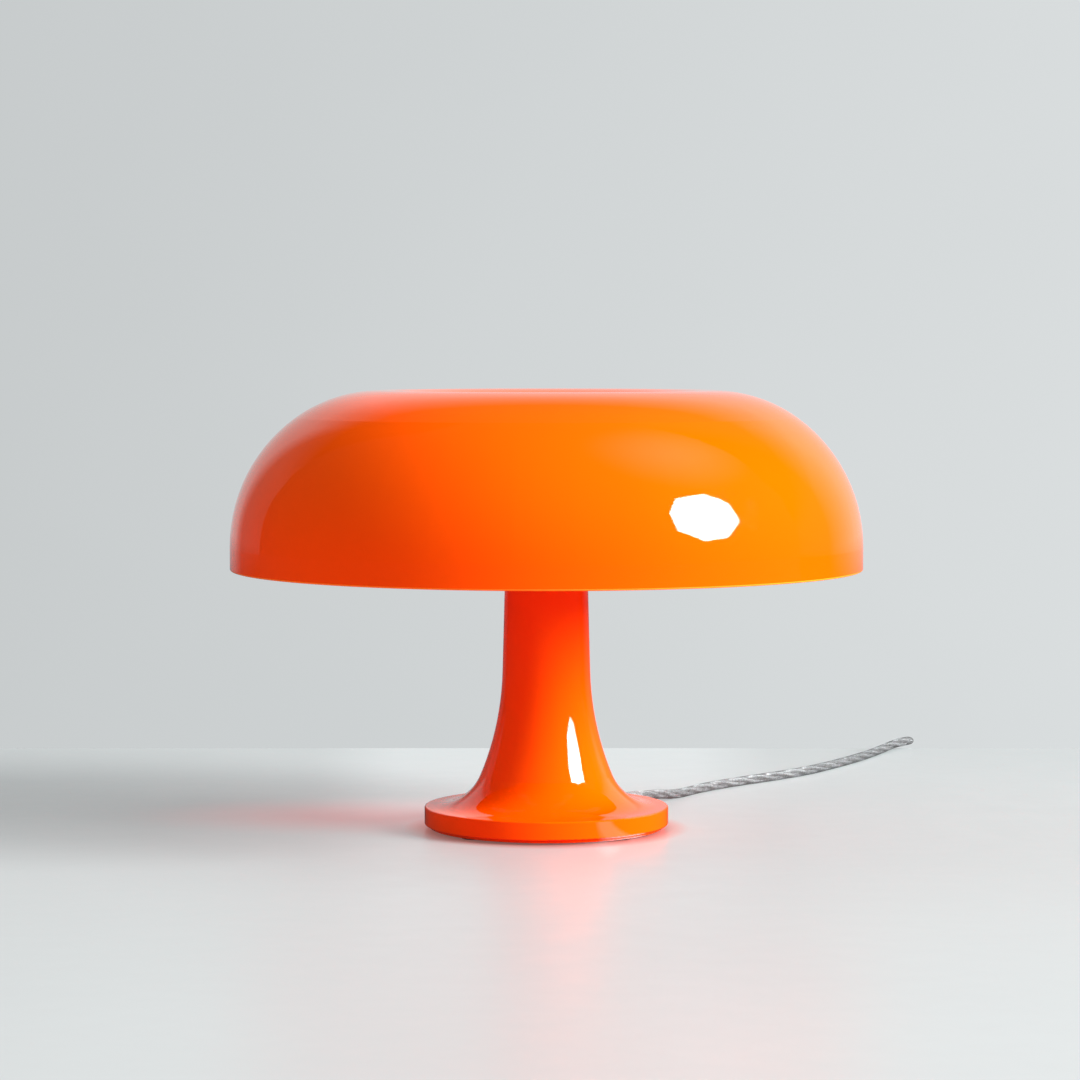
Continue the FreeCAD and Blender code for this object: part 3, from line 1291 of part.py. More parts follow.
# ---------------------------------------------------------------- build
def export_lamp():
    export("shade", make_shade())
    export("body_shell", make_body_shell())
    export("ballast", make_ballast())
    export("base_cover", make_base_cover())
    export("foot_pads", make_foot_pads())
    export("cover_screws", make_cover_screws())
    export("tie_tube", make_tie_tube())
    lower_washer_z = BALLAST_RECESS_TOP_Z - WASHER_THICKNESS
    export("lower_washer", ring(WASHER_RADIUS, TUBE_HOLE, lower_washer_z, BALLAST_RECESS_TOP_Z))
    export("lower_nut", hexagon_nut(lower_washer_z - NUT_HEIGHT, NUT_HEIGHT, TUBE_RADIUS))
    export("stem_cap", make_stem_cap())
    export("lampholder_spider", make_spider())
    export("spider_nut", hexagon_nut(SPIDER_TOP_Z, NUT_HEIGHT, TUBE_RADIUS))
    export_holders()
    export("seat_nut", hexagon_nut(SEAT_PLATE_Z - NUT_HEIGHT, NUT_HEIGHT, TUBE_RADIUS))
    export("seat_plate", ring(SEAT_RADIUS, TUBE_HOLE, SEAT_PLATE_Z, SEAT_PLATE_Z + SEAT_PLATE))
    export("shade_gasket", ring(SEAT_RADIUS, TUBE_HOLE, SEAT_PLATE_Z + SEAT_PLATE, SEAT_UNDER_Z))
    export("shade_knob", make_knob())
    export("knob_insert", make_knob_insert())
    export("inner_lead", make_inner_lead())
    export("core_wires", make_core_wires())
    export("terminal_block", make_terminal_block())
    export("holder_wires", make_holder_wires())
    export("cord_gland", make_gland())
    export("lead_clamp", make_lead_clamp())
    export("clamp_screws", make_clamp_screws())


def export_lead():
    coil_in, coil_out = coil_ends()
    switch_way = level_way(SWITCH_HEADING)
    total = lead_tube("cord_lead", along_exit(GLAND_TIP, EXIT_Z), level_way(EXIT_ANGLE), LEAD_POINTS,
                      switch_end(-1), switch_way)
    total += lead_tube("cord_run", switch_end(1), switch_way, RUN_POINTS, coil_in, coil_tangent(0))
    total += make_coil()
    total += lead_tube("cord_tail", coil_out, coil_tangent(COIL_END), TAIL_POINTS,
                       vec(PLUG_X, PLUG_Y, PLUG_AXIS_Z), level_way(180))
    total += SWITCH_LENGTH + 2 * SWITCH_RELIEF
    export_plug()
    export("cord_tie", make_cord_tie())
    print("whole lead outside the lamp, with the switch: %.0f" % total)


export_lamp()
export_switch()
export_lead()
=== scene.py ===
"""Looks of the mushroom table lamp: its mains lead, materials, light, table and camera.

Metres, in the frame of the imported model: +Z up, the table at z = 0, front towards -Y.
"""
import json
import math

import bpy
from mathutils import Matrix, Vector


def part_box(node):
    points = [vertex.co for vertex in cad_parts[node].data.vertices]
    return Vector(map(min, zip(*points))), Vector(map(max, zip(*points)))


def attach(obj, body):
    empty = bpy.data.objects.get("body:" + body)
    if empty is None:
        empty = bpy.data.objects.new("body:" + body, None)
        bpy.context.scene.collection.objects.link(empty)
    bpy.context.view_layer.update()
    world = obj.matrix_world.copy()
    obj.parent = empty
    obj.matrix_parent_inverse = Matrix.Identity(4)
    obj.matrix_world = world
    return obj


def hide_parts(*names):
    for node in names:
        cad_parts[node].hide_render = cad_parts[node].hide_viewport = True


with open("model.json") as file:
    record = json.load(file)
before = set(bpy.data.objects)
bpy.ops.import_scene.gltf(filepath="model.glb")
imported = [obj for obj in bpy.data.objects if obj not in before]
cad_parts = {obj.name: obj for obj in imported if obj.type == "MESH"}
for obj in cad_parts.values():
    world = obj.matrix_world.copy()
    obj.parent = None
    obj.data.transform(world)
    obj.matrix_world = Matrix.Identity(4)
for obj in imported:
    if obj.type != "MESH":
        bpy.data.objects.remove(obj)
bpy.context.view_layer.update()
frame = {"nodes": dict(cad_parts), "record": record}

MM = 0.001
NODES = frame["nodes"]


# ---------------------------------------------------------------- camera
CAMERA_PLACE = (-0.00323, -1.667, 0.2422)
CAMERA_PITCH = 3.27            # degrees below level
LENS = 109.72                  # millimetres, as is the sensor
SENSOR = 36.0
CLIP = (0.05, 60.0)


def make_camera():
    data = bpy.data.cameras.new("camera")
    data.lens = LENS
    data.sensor_width = SENSOR
    data.clip_start, data.clip_end = CLIP
    camera = bpy.data.objects.new("camera", data)
    camera.location = CAMERA_PLACE
    camera.rotation_euler = (math.radians(90 - CAMERA_PITCH), 0, 0)
    bpy.context.scene.collection.objects.link(camera)
    bpy.context.scene.camera = camera


make_camera()


# ---------------------------------------------------------------- objects and node trees
def add_object(name, data):
    made = bpy.data.objects.new(name, data)
    bpy.context.scene.collection.objects.link(made)
    return made


def give(piece, material):
    """Makes this the piece's only material."""
    piece.data.materials.clear()
    piece.data.materials.append(material)


def add_node(tree, kind, inputs=None, **settings):
    """Adds a shader node. An input's value is a number, a colour or another node's output."""
    made = tree.nodes.new("ShaderNode" + kind)
    for name, value in settings.items():
        setattr(made, name, value)
    for name, value in (inputs or {}).items():
        if isinstance(value, bpy.types.NodeSocket):
            tree.links.new(value, made.inputs[name])
        else:
            made.inputs[name].default_value = value
    return made


def maths(tree, operation, first, second=0.0):
    return add_node(tree, "Math", {0: first, 1: second}, operation=operation).outputs[0]


def object_place(tree):
    return add_node(tree, "TexCoord").outputs["Object"]


def axis(tree, name, vector=None):
    """One axis of the object's own place, or of another vector."""
    if vector is None:
        vector = object_place(tree)
    return add_node(tree, "SeparateXYZ", {"Vector": vector}).outputs[name]


def noise(tree, scale, detail=2.0, roughness=0.5, stretch=None):
    """Noise over the object's own place, in cycles a metre, finer or coarser along its axes if asked."""
    vector = object_place(tree)
    if stretch:
        vector = add_node(tree, "Mapping", {"Vector": vector, "Scale": stretch}).outputs[0]
    inputs = {"Vector": vector, "Scale": scale, "Detail": detail, "Roughness": roughness}
    return add_node(tree, "TexNoise", inputs).outputs["Fac"]


def spread(tree, factor, low, high, source=(0.3, 0.7)):
    """Maps a value from the source's range to the range low to high. A noise fills 0.3 to 0.7."""
    inputs = {"Value": factor, "From Min": source[0], "From Max": source[1], "To Min": low, "To Max": high}
    return add_node(tree, "MapRange", inputs).outputs[0]


def rgba(colour):
    """Three numbers become an opaque colour. Another node's output stays as it is."""
    return colour if isinstance(colour, bpy.types.NodeSocket) else (*colour, 1.0)


def mix_colour(tree, factor, first, second):
    """The first colour where the factor is 0, and the second where it is 1."""
    inputs = {0: factor, 6: rgba(first), 7: rgba(second)}
    return add_node(tree, "Mix", inputs, data_type="RGBA").outputs[2]


def blend(tree, pattern, first, second):
    """The first colour where the noise is low, and the second where it is high."""
    return mix_colour(tree, spread(tree, pattern, 0.0, 1.0), first, second)


def bump(tree, height, distance, strength=1.0, normal=None):
    inputs = {"Height": height, "Distance": distance, "Strength": strength}
    if normal is not None:
        inputs["Normal"] = normal
    return add_node(tree, "Bump", inputs).outputs["Normal"]


def new_material(name, **constants):
    """A material with one Principled shader. Constants are set on the shader's own sockets."""
    material = bpy.data.materials.new(name)
    material.use_nodes = True
    tree = material.node_tree
    shader = tree.nodes["Principled BSDF"]
    for key, value in constants.items():
        shader.inputs[key.replace("_", " ")].default_value = value
    return material, tree, shader


def link(tree, shader, **sockets):
    for key, value in sockets.items():
        tree.links.new(value, shader.inputs[key.replace("_", " ")])


# ---------------------------------------------------------------- the mains lead
CORD_RADIUS = 2.5 * MM
CORD_SIDES = 5                 # Blender's bevel resolution
CORD_STRAIGHT = 15.0           # out of a fitting, before it bends
LEAD_STEPS = 12                # from one control point to the next
FLEX_STEPS = 4
CORE_RADIUS = 1.05 * MM
CORE_SIDES = 2
CORE_OFFSET = 1.1 * MM
CORE_LAY = 34 * MM             # one full twist
CORE_STEP = 1.6 * MM
GLAND_ANGLE = 55.0
GLAND_TIP = (48.181, 68.809, 6.6)
LEAD_POINTS = [
    (70.0, 106.0, 2.65),
    (84.5, 134.0, 2.55),
    (105.0, 159.5, 2.6),
    (128.5, 184.0, 2.55),
    (150.5, 209.5, 2.6),
    (169.0, 240.5, 2.55),
    (187.0, 273.5, 2.6),
    (202.0, 306.0, 2.9),
    (215.0, 331.0, 4.6),
    (233.0, 349.0, 4.6),
    (236.6, 374.7, 2.6),
    (222.5, 399.0, 2.8),
]
SWITCH_IN = (179.213, 412.141, 7.0)
SWITCH_OUT = (80.187, 426.059, 7.0)
SWITCH_HEADING = 172.0
RUN_POINTS = [(44.0, 430.8, 4.2), (24.0, 432.8, 3.5)]
TAIL_POINTS = [(-49.0, 433.9, 7.4)]
PLUG_ENTRY = (-79.0, 433.9, 6.85)

COIL_CENTRE = (-14.0, 395.1)
COIL_RADIUS = 37.9
COIL_PITCH = 5.7
COIL_RISE = 5.65
COIL_LOW_Z = 3.45
COIL_TURNS = 2.75              # of each layer
COIL_LEAD = 5.0
POINTS_A_TURN = 24


def level_way(degrees):
    return Vector((math.cos(math.radians(degrees)), math.sin(math.radians(degrees)), 0))


def coil_points():
    """Spirals in on the lower layer, climbs through half a turn, and spirals out on it."""
    rate = COIL_PITCH / (2 * math.pi)
    reverse = 2 * math.pi * COIL_TURNS
    inner = COIL_RADIUS - rate * reverse
    step = 2 * math.pi / POINTS_A_TURN
    outward = 1 / math.cos(step / 2)
    points = []
    for k in range(round((2 * reverse + math.pi) / step) + 1):
        angle = k * step
        if angle <= reverse:
            radius, rise = COIL_RADIUS - rate * angle, 0.0
        elif angle <= reverse + math.pi:
            part = angle - reverse
            share = part / math.pi
            radius = inner - rate * (part - part * share)
            rise = share * share * (3 - 2 * share) * COIL_RISE
        else:
            radius, rise = inner + rate * (angle - reverse - math.pi), COIL_RISE
        way = angle + math.pi / 2
        points.append(Vector((COIL_CENTRE[0] + radius * outward * math.cos(way),
                              COIL_CENTRE[1] + radius * outward * math.sin(way), COIL_LOW_Z + rise)))
    return points


def lead_points():
    start = Vector(GLAND_TIP)
    end = Vector(SWITCH_IN)
    way_in = level_way(SWITCH_HEADING)
    points = [start, start + level_way(GLAND_ANGLE) * CORD_STRAIGHT]
    points += [Vector(p) for p in LEAD_POINTS]
    return points + [end - way_in * CORD_STRAIGHT, end]


def flex_points():
    start = Vector(SWITCH_OUT)
    end = Vector(PLUG_ENTRY)
    coil = coil_points()
    way_in = (coil[1] - coil[0]).normalized()
    way_out = (coil[-1] - coil[-2]).normalized()
    points = [start, start + level_way(SWITCH_HEADING) * CORD_STRAIGHT]
    points += [Vector(p) for p in RUN_POINTS]
    points.append(coil[0] - way_in * (COIL_LEAD + CORD_STRAIGHT))
    points += coil
    points.append(coil[-1] + way_out * (COIL_LEAD + CORD_STRAIGHT))
    points += [Vector(p) for p in TAIL_POINTS]
    return points + [end - level_way(180) * CORD_STRAIGHT, end]


def smooth_line(name, points, steps):
    """A NURBS curve with these control points, in millimetres. Its bevel comes later."""
    data = bpy.data.curves.new(name, "CURVE")
    data.dimensions = "3D"
    data.resolution_u = steps
    spline = data.splines.new("NURBS")
    spline.points.add(len(points) - 1)
    for place, point in zip(spline.points, points):
        place.co = (*(point * MM), 1.0)
        place.radius = CORD_RADIUS
    spline.order_u = 3
    spline.use_endpoint_u = True
    return add_object(name, data)


def make_round(data, sides):
    """A full bevel: each point's radius is then the tube's, and the curve's box is true."""
    data.bevel_depth = 1.0
    data.bevel_resolution = sides
    data.use_fill_caps = True


def points_along(curve):
    """The points that the curve's own line passes through."""
    mesh = bpy.data.meshes.new_from_object(curve)
    points = [v.co.copy() for v in mesh.vertices]
    bpy.data.meshes.remove(mesh)
    return points


def even_points(points, step):
    """Points at even distances along a line."""
    lengths = [0.0]
    for a, b in zip(points, points[1:]):
        lengths.append(lengths[-1] + (b - a).length)
    count = max(2, round(lengths[-1] / step))
    made = []
    k = 0
    for n in range(count + 1):
        reach = lengths[-1] * n / count
        while k < len(points) - 2 and lengths[k + 1] < reach:
            k += 1
        share = (reach - lengths[k]) / max(lengths[k + 1] - lengths[k], 1e-9)
        made.append(points[k].lerp(points[k + 1], min(share, 1.0)))
    return made


def frames_along(points):
    """Across and up at each point, carried along the line without twisting."""
    across = Vector((0, 0, 1)).cross(points[1] - points[0]).normalized()
    frames = []
    for k in range(len(points)):
        way = (points[min(k + 1, len(points) - 1)] - points[max(k - 1, 0)]).normalized()
        across = (across - way * across.dot(way)).normalized()
        frames.append((across, way.cross(across)))
    return frames


def twisted_cores(name, points):
    """Two tinned cores twisted round each other along the line, one curve object."""
    frames = frames_along(points)
    data = bpy.data.curves.new(name, "CURVE")
    data.dimensions = "3D"
    make_round(data, CORE_SIDES)
    step = (points[1] - points[0]).length
    for start in (0.0, math.pi):
        spline = data.splines.new("POLY")
        spline.points.add(len(points) - 1)
        for k, (place, point) in enumerate(zip(spline.points, points)):
            angle = start + 2 * math.pi * k * step / CORE_LAY
            across, up = frames[k]
            offset = (across * math.cos(angle) + up * math.sin(angle)) * CORE_OFFSET
            place.co = (*(point + offset), 1.0)
            place.radius = CORE_RADIUS
    return add_object(name, data)


def make_cord(name, points, steps):
    """The jacket's curve and the cores inside it."""
    curve = smooth_line(name, points, steps)
    cores = twisted_cores(name + "_cores", even_points(points_along(curve), CORE_STEP))
    make_round(curve.data, CORD_SIDES)
    for piece in (curve, cores):
        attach(piece, "root")
    return curve, cores


lead, lead_cores = make_cord("lead_to_switch", lead_points(), LEAD_STEPS)
flex, flex_cores = make_cord("flex_to_plug", flex_points(), FLEX_STEPS)
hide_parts("cord_lead")
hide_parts("cord_run", "cord_coil", "cord_tail")


# ---------------------------------------------------------------- materials of the lamp
ORANGE = (1.0, 0.107, 0.0)
ORANGE_DEEP = (0.98, 0.099, 0.0)
ORANGE_ROUGHNESS = 0.025
# painted highlight along the lowest edge of the shade
RIM_PAINTED_HIGHLIGHT = (1.0, 0.38, 0.03)
RIM_BAND = 0.6 * MM
IRON = (0.035, 0.035, 0.038)
IRON_STAINED = (0.075, 0.07, 0.065)
OPAL = (0.86, 0.85, 0.82)
OPAL_THIN = (0.79, 0.785, 0.77)
TIN_DARK = (0.15, 0.16, 0.165)
TIN_BRIGHT = (0.50, 0.52, 0.53)


def moulded_plastic(name, rim_z=None):
    """Glossy orange moulding: flow marks in its colour, faint orange peel and handling marks.

    If rim_z is given, a painted highlight makes the lowest edge paler, where it is thin and light comes
    through.
    """
    material, tree, shader = new_material(name, IOR=1.5)
    flow = noise(tree, 9.0, detail=3.0, stretch=(1.0, 1.0, 0.35))
    paint = blend(tree, flow, ORANGE, ORANGE_DEEP)
    if rim_z is not None:
        # painted highlight: the lowest edge paler
        rim = spread(tree, axis(tree, "Z"), 1.0, 0.0, (rim_z + RIM_BAND, rim_z + 1.6 * RIM_BAND))
        paint = mix_colour(tree, rim, paint, RIM_PAINTED_HIGHLIGHT)
    wiped = noise(tree, 60.0, detail=5.0, roughness=0.65, stretch=(1.0, 1.0, 3.0))
    waves = bump(tree, noise(tree, 28.0, detail=1.0), distance=0.01 * MM, strength=0.12)
    peel = bump(tree, noise(tree, 420.0, detail=1.0), distance=0.001 * MM, strength=0.5, normal=waves)
    dull = spread(tree, wiped, ORANGE_ROUGHNESS * 0.7, ORANGE_ROUGHNESS * 1.5)
    link(tree, shader, Base_Color=paint, Roughness=dull, Normal=peel)
    return material


def metal(name, colour, worn, roughness, grain, depth):
    """Plated or turned metal: fine rings of grain and dull patches."""
    material, tree, shader = new_material(name, Metallic=1.0)
    patches = noise(tree, 90.0, detail=4.0, roughness=0.6)
    lines = noise(tree, grain, detail=3.0, stretch=(1.0, 1.0, 14.0))
    link(tree, shader, Base_Color=blend(tree, patches, colour, worn),
         Roughness=spread(tree, lines, roughness * 0.75, roughness * 1.4),
         Normal=bump(tree, lines, depth, strength=0.7))
    return material


def cast_iron():
    """Dark sand-cast iron with dull stains."""
    material, tree, shader = new_material("cast_iron", Specular_IOR_Level=0.4)
    sand = noise(tree, 700.0, detail=4.0, roughness=0.7)
    stains = noise(tree, 35.0, detail=4.0)
    link(tree, shader, Base_Color=blend(tree, stains, IRON, IRON_STAINED),
         Roughness=spread(tree, sand, 0.5, 0.8),
         Normal=bump(tree, sand, distance=0.25 * MM, strength=0.8))
    return material


def satin_plastic(name, colour, deep, roughness=0.38):
    """Plain moulding with a fine spark-eroded grain and a slight mottle."""
    material, tree, shader = new_material(name, IOR=1.49)
    mottle = noise(tree, 45.0, detail=3.0)
    spark = noise(tree, 1600.0, detail=2.0)
    link(tree, shader, Base_Color=blend(tree, mottle, colour, deep),
         Roughness=spread(tree, mottle, roughness * 0.85, roughness * 1.2),
         Normal=bump(tree, spark, distance=0.02 * MM, strength=0.6))
    return material


def rubber(name, colour, bloomed):
    """Matt rubber with the uneven bloom that it gets."""
    material, tree, shader = new_material(name, Specular_IOR_Level=0.3)
    bloom = noise(tree, 160.0, detail=4.0, roughness=0.6)
    link(tree, shader, Base_Color=blend(tree, bloom, colour, bloomed),
         Roughness=spread(tree, bloom, 0.6, 0.85),
         Normal=bump(tree, noise(tree, 2200.0), distance=0.03 * MM, strength=0.7))
    return material


def opal_glass():
    """White coated bulb: bright skin over glass, with a faint mottle where the coating is thin."""
    material, tree, shader = new_material("opal_glass", IOR=1.5, Subsurface_Weight=0.35,
                                          Subsurface_Scale=4 * MM, Coat_Weight=0.5, Coat_Roughness=0.05)
    coating = noise(tree, 70.0, detail=3.0)
    link(tree, shader, Base_Color=blend(tree, coating, OPAL, OPAL_THIN),
         Roughness=spread(tree, noise(tree, 500.0), 0.22, 0.34),
         Normal=bump(tree, coating, distance=0.05 * MM, strength=0.4))
    return material


def clear_plastic(name, colour, deep, roughness, share):
    """Soft clear moulding with a smoky cast and a slightly uneven skin. It lets this share through."""
    material, tree, shader = new_material(name, IOR=1.48, Transmission_Weight=share)
    cloud = noise(tree, 120.0, detail=3.0)
    link(tree, shader, Base_Color=blend(tree, cloud, colour, deep),
         Roughness=spread(tree, cloud, roughness * 0.7, roughness * 1.4),
         Normal=bump(tree, noise(tree, 260.0, detail=2.0), distance=0.12 * MM, strength=0.5))
    return material


def tinned_core():
    """Tinned strands under a thin clear skin: fine bright and dark streaks."""
    material, tree, shader = new_material("tinned_core", Metallic=0.6, Coat_Weight=0.2)
    streaks = noise(tree, 900.0, detail=2.0, roughness=0.7)
    link(tree, shader, Base_Color=blend(tree, streaks, TIN_DARK, TIN_BRIGHT),
         Roughness=spread(tree, streaks, 0.38, 0.6),
         Normal=bump(tree, streaks, distance=0.15 * MM, strength=0.9))
    return material


CLEAR_JACKET = clear_plastic("clear_jacket", (0.86, 0.88, 0.885), (0.78, 0.80, 0.81), 0.12, 0.92)
CLEAR_CASE = clear_plastic("clear_case", (0.92, 0.93, 0.94), (0.87, 0.88, 0.89), 0.1, 0.88)
TINNED = tinned_core()
MATERIALS = {
    "shade_plastic": moulded_plastic("shade_plastic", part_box("shade")[0][2]),
    "body_plastic": moulded_plastic("body_plastic"),
    "foot_rubber": rubber("foot_rubber", (0.03, 0.03, 0.03), (0.055, 0.055, 0.055)),
    "iron": cast_iron(),
    "steel": metal("zinc_steel", (0.60, 0.61, 0.62), (0.50, 0.51, 0.50), 0.3, 300.0, 0.01 * MM),
    "gasket_rubber": rubber("gasket_rubber", (0.33, 0.33, 0.31), (0.26, 0.26, 0.25)),
    "brass": metal("turned_brass", (0.80, 0.58, 0.27), (0.66, 0.46, 0.20), 0.26, 500.0, 0.008 * MM),
    "bulb_metal": metal("rolled_aluminium", (0.80, 0.81, 0.82), (0.70, 0.71, 0.72), 0.24, 400.0, 0.008 * MM),
    "bulb_glass": opal_glass(),
    "holder_plastic": satin_plastic("holder_plastic", (0.80, 0.78, 0.72), (0.75, 0.73, 0.66)),
    "clear_lead": CLEAR_JACKET,
    "clear_relief": clear_plastic("clear_relief", (0.90, 0.91, 0.92), (0.84, 0.85, 0.86), 0.18, 0.85),
    "wire_jacket": satin_plastic("wire_jacket", (0.72, 0.72, 0.71), (0.64, 0.64, 0.63)),
    "tie_plastic": satin_plastic("tie_plastic", (0.02, 0.02, 0.02), (0.035, 0.035, 0.035), 0.45),
    "switch_plastic": CLEAR_CASE,
    "plug_plastic": CLEAR_CASE,
}

for row in frame["record"]["subparts"]:
    give(NODES[row["node"]], MATERIALS[row["material_slot"]])
for jacket in (lead, flex):
    give(jacket, CLEAR_JACKET)
for cores in (lead_cores, flex_cores):
    give(cores, TINNED)


# ---------------------------------------------------------------- helpers for the surroundings
ORIGIN = (0.0, 0.0, 0.0)
BLACK = (0.0, 0.0, 0.0)
WHITE = (1.0, 1.0, 1.0)
ROOM_GLOW = 0.56               # even light on matt surfaces
ROOM_COLOUR = (1.0, 0.84, 0.83)
ROOM_REFLECTED = 0.05          # what glossy surfaces see of the room
ROOM_PALE = (0.66, 0.69, 0.70)


def sheet(name, corners):
    """One flat face with these corners."""
    mesh = bpy.data.meshes.new(name)
    mesh.from_pydata([tuple(p) for p in corners], [], [tuple(range(len(corners)))])
    mesh.update()
    return add_object(name, mesh)


def seen_only_by(piece, camera=False, glossy=False, transmission=False):
    """A light card or backdrop that neither shades the lamp nor lights it diffusely."""
    piece.visible_camera = camera
    piece.visible_glossy = glossy
    piece.visible_transmission = transmission
    piece.visible_diffuse = False
    piece.visible_shadow = False
    piece.visible_volume_scatter = False


def new_emission(name):
    """A material with one Emission shader, linked to its output."""
    material = bpy.data.materials.new(name)
    material.use_nodes = True
    tree = material.node_tree
    tree.nodes.clear()
    glow = add_node(tree, "Emission")
    output = add_node(tree, "OutputMaterial", {"Surface": glow.outputs[0]})
    return material, tree, glow, output


def product(tree, first, *others):
    for other in others:
        first = maths(tree, "MULTIPLY", first, other)
    return first


def vector_maths(tree, operation, first, second):
    return add_node(tree, "VectorMath", {0: first, 1: second}, operation=operation).outputs[0]


def distance_from(tree, centre, vector=None):
    """How far the object's own place, or another vector, is from this point."""
    if vector is None:
        vector = object_place(tree)
    return add_node(tree, "VectorMath", {0: vector, 1: centre}, operation="DISTANCE").outputs["Value"]


def smooth_fade(tree, value, reach):
    """1 where the value is 0, and 0 where it is the reach or more."""
    inputs = {"Value": value, "From Max": reach, "To Min": 1.0, "To Max": 0.0}
    return add_node(tree, "MapRange", inputs, interpolation_type="SMOOTHSTEP").outputs[0]


def mix_shaders(tree, factor, first, second):
    """The first shader where the factor is 0, and the second where it is 1."""
    return add_node(tree, "MixShader", {0: factor, 1: first, 2: second}).outputs[0]


def clear_shader(tree):
    return add_node(tree, "BsdfTransparent").outputs[0]


def looked_at(tree, path):
    """1 for rays that come from the camera, straight or through something clear."""
    return maths(tree, "MAXIMUM", path.outputs["Is Camera Ray"], path.outputs["Is Transmission Ray"])


# ---------------------------------------------------------------- table
TABLE_REACH = 5.0
TABLE_PAINT = ((0.31, 0.327, 0.327), (0.30, 0.316, 0.316))
TABLE_PALE = (0.190, 0.218, 0.220)      # added where the table is looked at
TABLE_PALE_BACK = (0.225, 0.260, 0.264)
TABLE_BACK = (-0.10, 0.20)              # where it turns into the back's, along y
TABLE_PALE_FAR = (0.42, 0.44, 0.442)
TABLE_FAR = (0.75, 2.5)                 # and into the far table's, away from the lamp
PAINTED_SHADOW_RED = (0.200, 0.0, 0.0)         # painted red light in the lamp's shadow, for what the lamp lets through
PAINTED_SHADOW_CENTRE = (-0.085, 0.045, 0.0)
PAINTED_SHADOW_SPAN = (0.15, 0.085, 1.0)
PAINTED_BASE_REFLECTION = (1.0, 0.42, 0.36)          # painted reflection of the base in the table, close round it
PAINTED_REFLECTION_SPAN = (0.060, 0.073)
TABLE_BOUNCE = (0.50, 0.50, 0.50)       # colour of the light that it gives back, far from the lamp
PAINTED_RED_BOUNCE = (0.72, 0.05, 0.03)      # and close to it, painted red where the lamp reddens the light
FLUSH_UP = (0.25, 1.20)                 # how far from the lamp, as the shade sees it
FLUSH_DOWN = (0.09, 0.25)               # and as what lies on the table sees it
FLUSH_RAY = (0.06, 0.18)                # a ray's length, from what lies on the table and from the shade
GLINT_WAY = 43.0                        # a streak of light on the table, which the base's rim reflects
GLINT_WIDTH = 0.017
GLINT_REACH = 0.25
GLINT_GLOW = 2.0


def table_bounce(tree, path, offset):
    """Colour of the light that the table gives back: grey, and painted red close to the lamp."""
    wide = product(tree, spread(tree, offset, 1.0, 0.0, FLUSH_UP),
                   spread(tree, path.outputs["Ray Length"], 0.0, 1.0, FLUSH_RAY))
    close = spread(tree, offset, 1.0, 0.0, FLUSH_DOWN)
    return mix_colour(tree, maths(tree, "MAXIMUM", wide, close), TABLE_BOUNCE, PAINTED_RED_BOUNCE)


def table_glow(tree, offset):
    """What is added to the table where it is looked at, lighter towards the back and far off, with painted
    red light in the lamp's shadow.
    """
    back = spread(tree, axis(tree, "Y"), 0.0, 1.0, TABLE_BACK)
    pale = mix_colour(tree, back, TABLE_PALE, TABLE_PALE_BACK)
    pale = mix_colour(tree, spread(tree, offset, 0.0, 1.0, TABLE_FAR), pale, TABLE_PALE_FAR)
    # painted red light where the lamp's shadow falls
    inputs = {"Vector": object_place(tree), "Location": PAINTED_SHADOW_CENTRE, "Scale": PAINTED_SHADOW_SPAN}
    shadow = add_node(tree, "Mapping", inputs, vector_type="TEXTURE").outputs[0]
    fade = smooth_fade(tree, distance_from(tree, ORIGIN, shadow), 1.0)
    return vector_maths(tree, "ADD", pale, mix_colour(tree, fade, BLACK, PAINTED_SHADOW_RED))


def table_glint(tree):
    """How bright the table is in reflections: as dim as the room, but for one streak of light."""
    inputs = {"Vector": object_place(tree), "Rotation": (0, 0, math.radians(90 - GLINT_WAY))}
    turned = add_node(tree, "Mapping", inputs).outputs[0]
    aside = maths(tree, "ABSOLUTE", axis(tree, "Y", turned))
    in_width = spread(tree, aside, 1.0, 0.0, (GLINT_WIDTH / 2, GLINT_WIDTH))
    from_middle = maths(tree, "ABSOLUTE", maths(tree, "SUBTRACT", axis(tree, "X", turned), GLINT_REACH / 2))
    in_reach = maths(tree, "LESS_THAN", from_middle, GLINT_REACH / 2)
    return spread(tree, product(tree, in_width, in_reach), ROOM_REFLECTED, GLINT_GLOW, (0.0, 1.0))


def table_lacquer():
    """Pale lacquer that keeps the lamp's shadow, with a painted reflection of the base round it. A camera
    below the table looks through it.
    """
    material, tree, shader = new_material("table_lacquer", IOR=1.45, Specular_IOR_Level=0.3)
    path = add_node(tree, "LightPath")
    seen = looked_at(tree, path)
    offset = distance_from(tree, ORIGIN)
    # painted reflection of the base, close round it
    ring = mix_colour(tree, spread(tree, offset, 1.0, 0.0, PAINTED_REFLECTION_SPAN), WHITE, PAINTED_BASE_REFLECTION)
    paint = vector_maths(tree, "MULTIPLY", blend(tree, noise(tree, 3.0, detail=3.0), *TABLE_PAINT), ring)
    link(tree, shader, Base_Color=mix_colour(tree, seen, table_bounce(tree, path, offset), paint),
         Emission_Color=vector_maths(tree, "MULTIPLY", table_glow(tree, offset), ring),
         Emission_Strength=seen,
         Roughness=spread(tree, noise(tree, 40.0, detail=4.0), 0.33, 0.38))
    reflected = add_node(tree, "Emission", {"Strength": table_glint(tree)}).outputs[0]
    whole = mix_shaders(tree, path.outputs["Is Glossy Ray"], shader.outputs[0], reflected)
    below = add_node(tree, "NewGeometry").outputs["Backfacing"]
    hidden = product(tree, path.outputs["Is Camera Ray"], below)
    surface = mix_shaders(tree, hidden, whole, clear_shader(tree))
    tree.links.new(surface, tree.nodes["Material Output"].inputs["Surface"])
    return material


def make_table():
    reach = TABLE_REACH
    table = sheet("table_top", [(-reach, -reach, 0), (reach, -reach, 0),
                                (reach, reach, 0), (-reach, reach, 0)])
    give(table, table_lacquer())
    return table


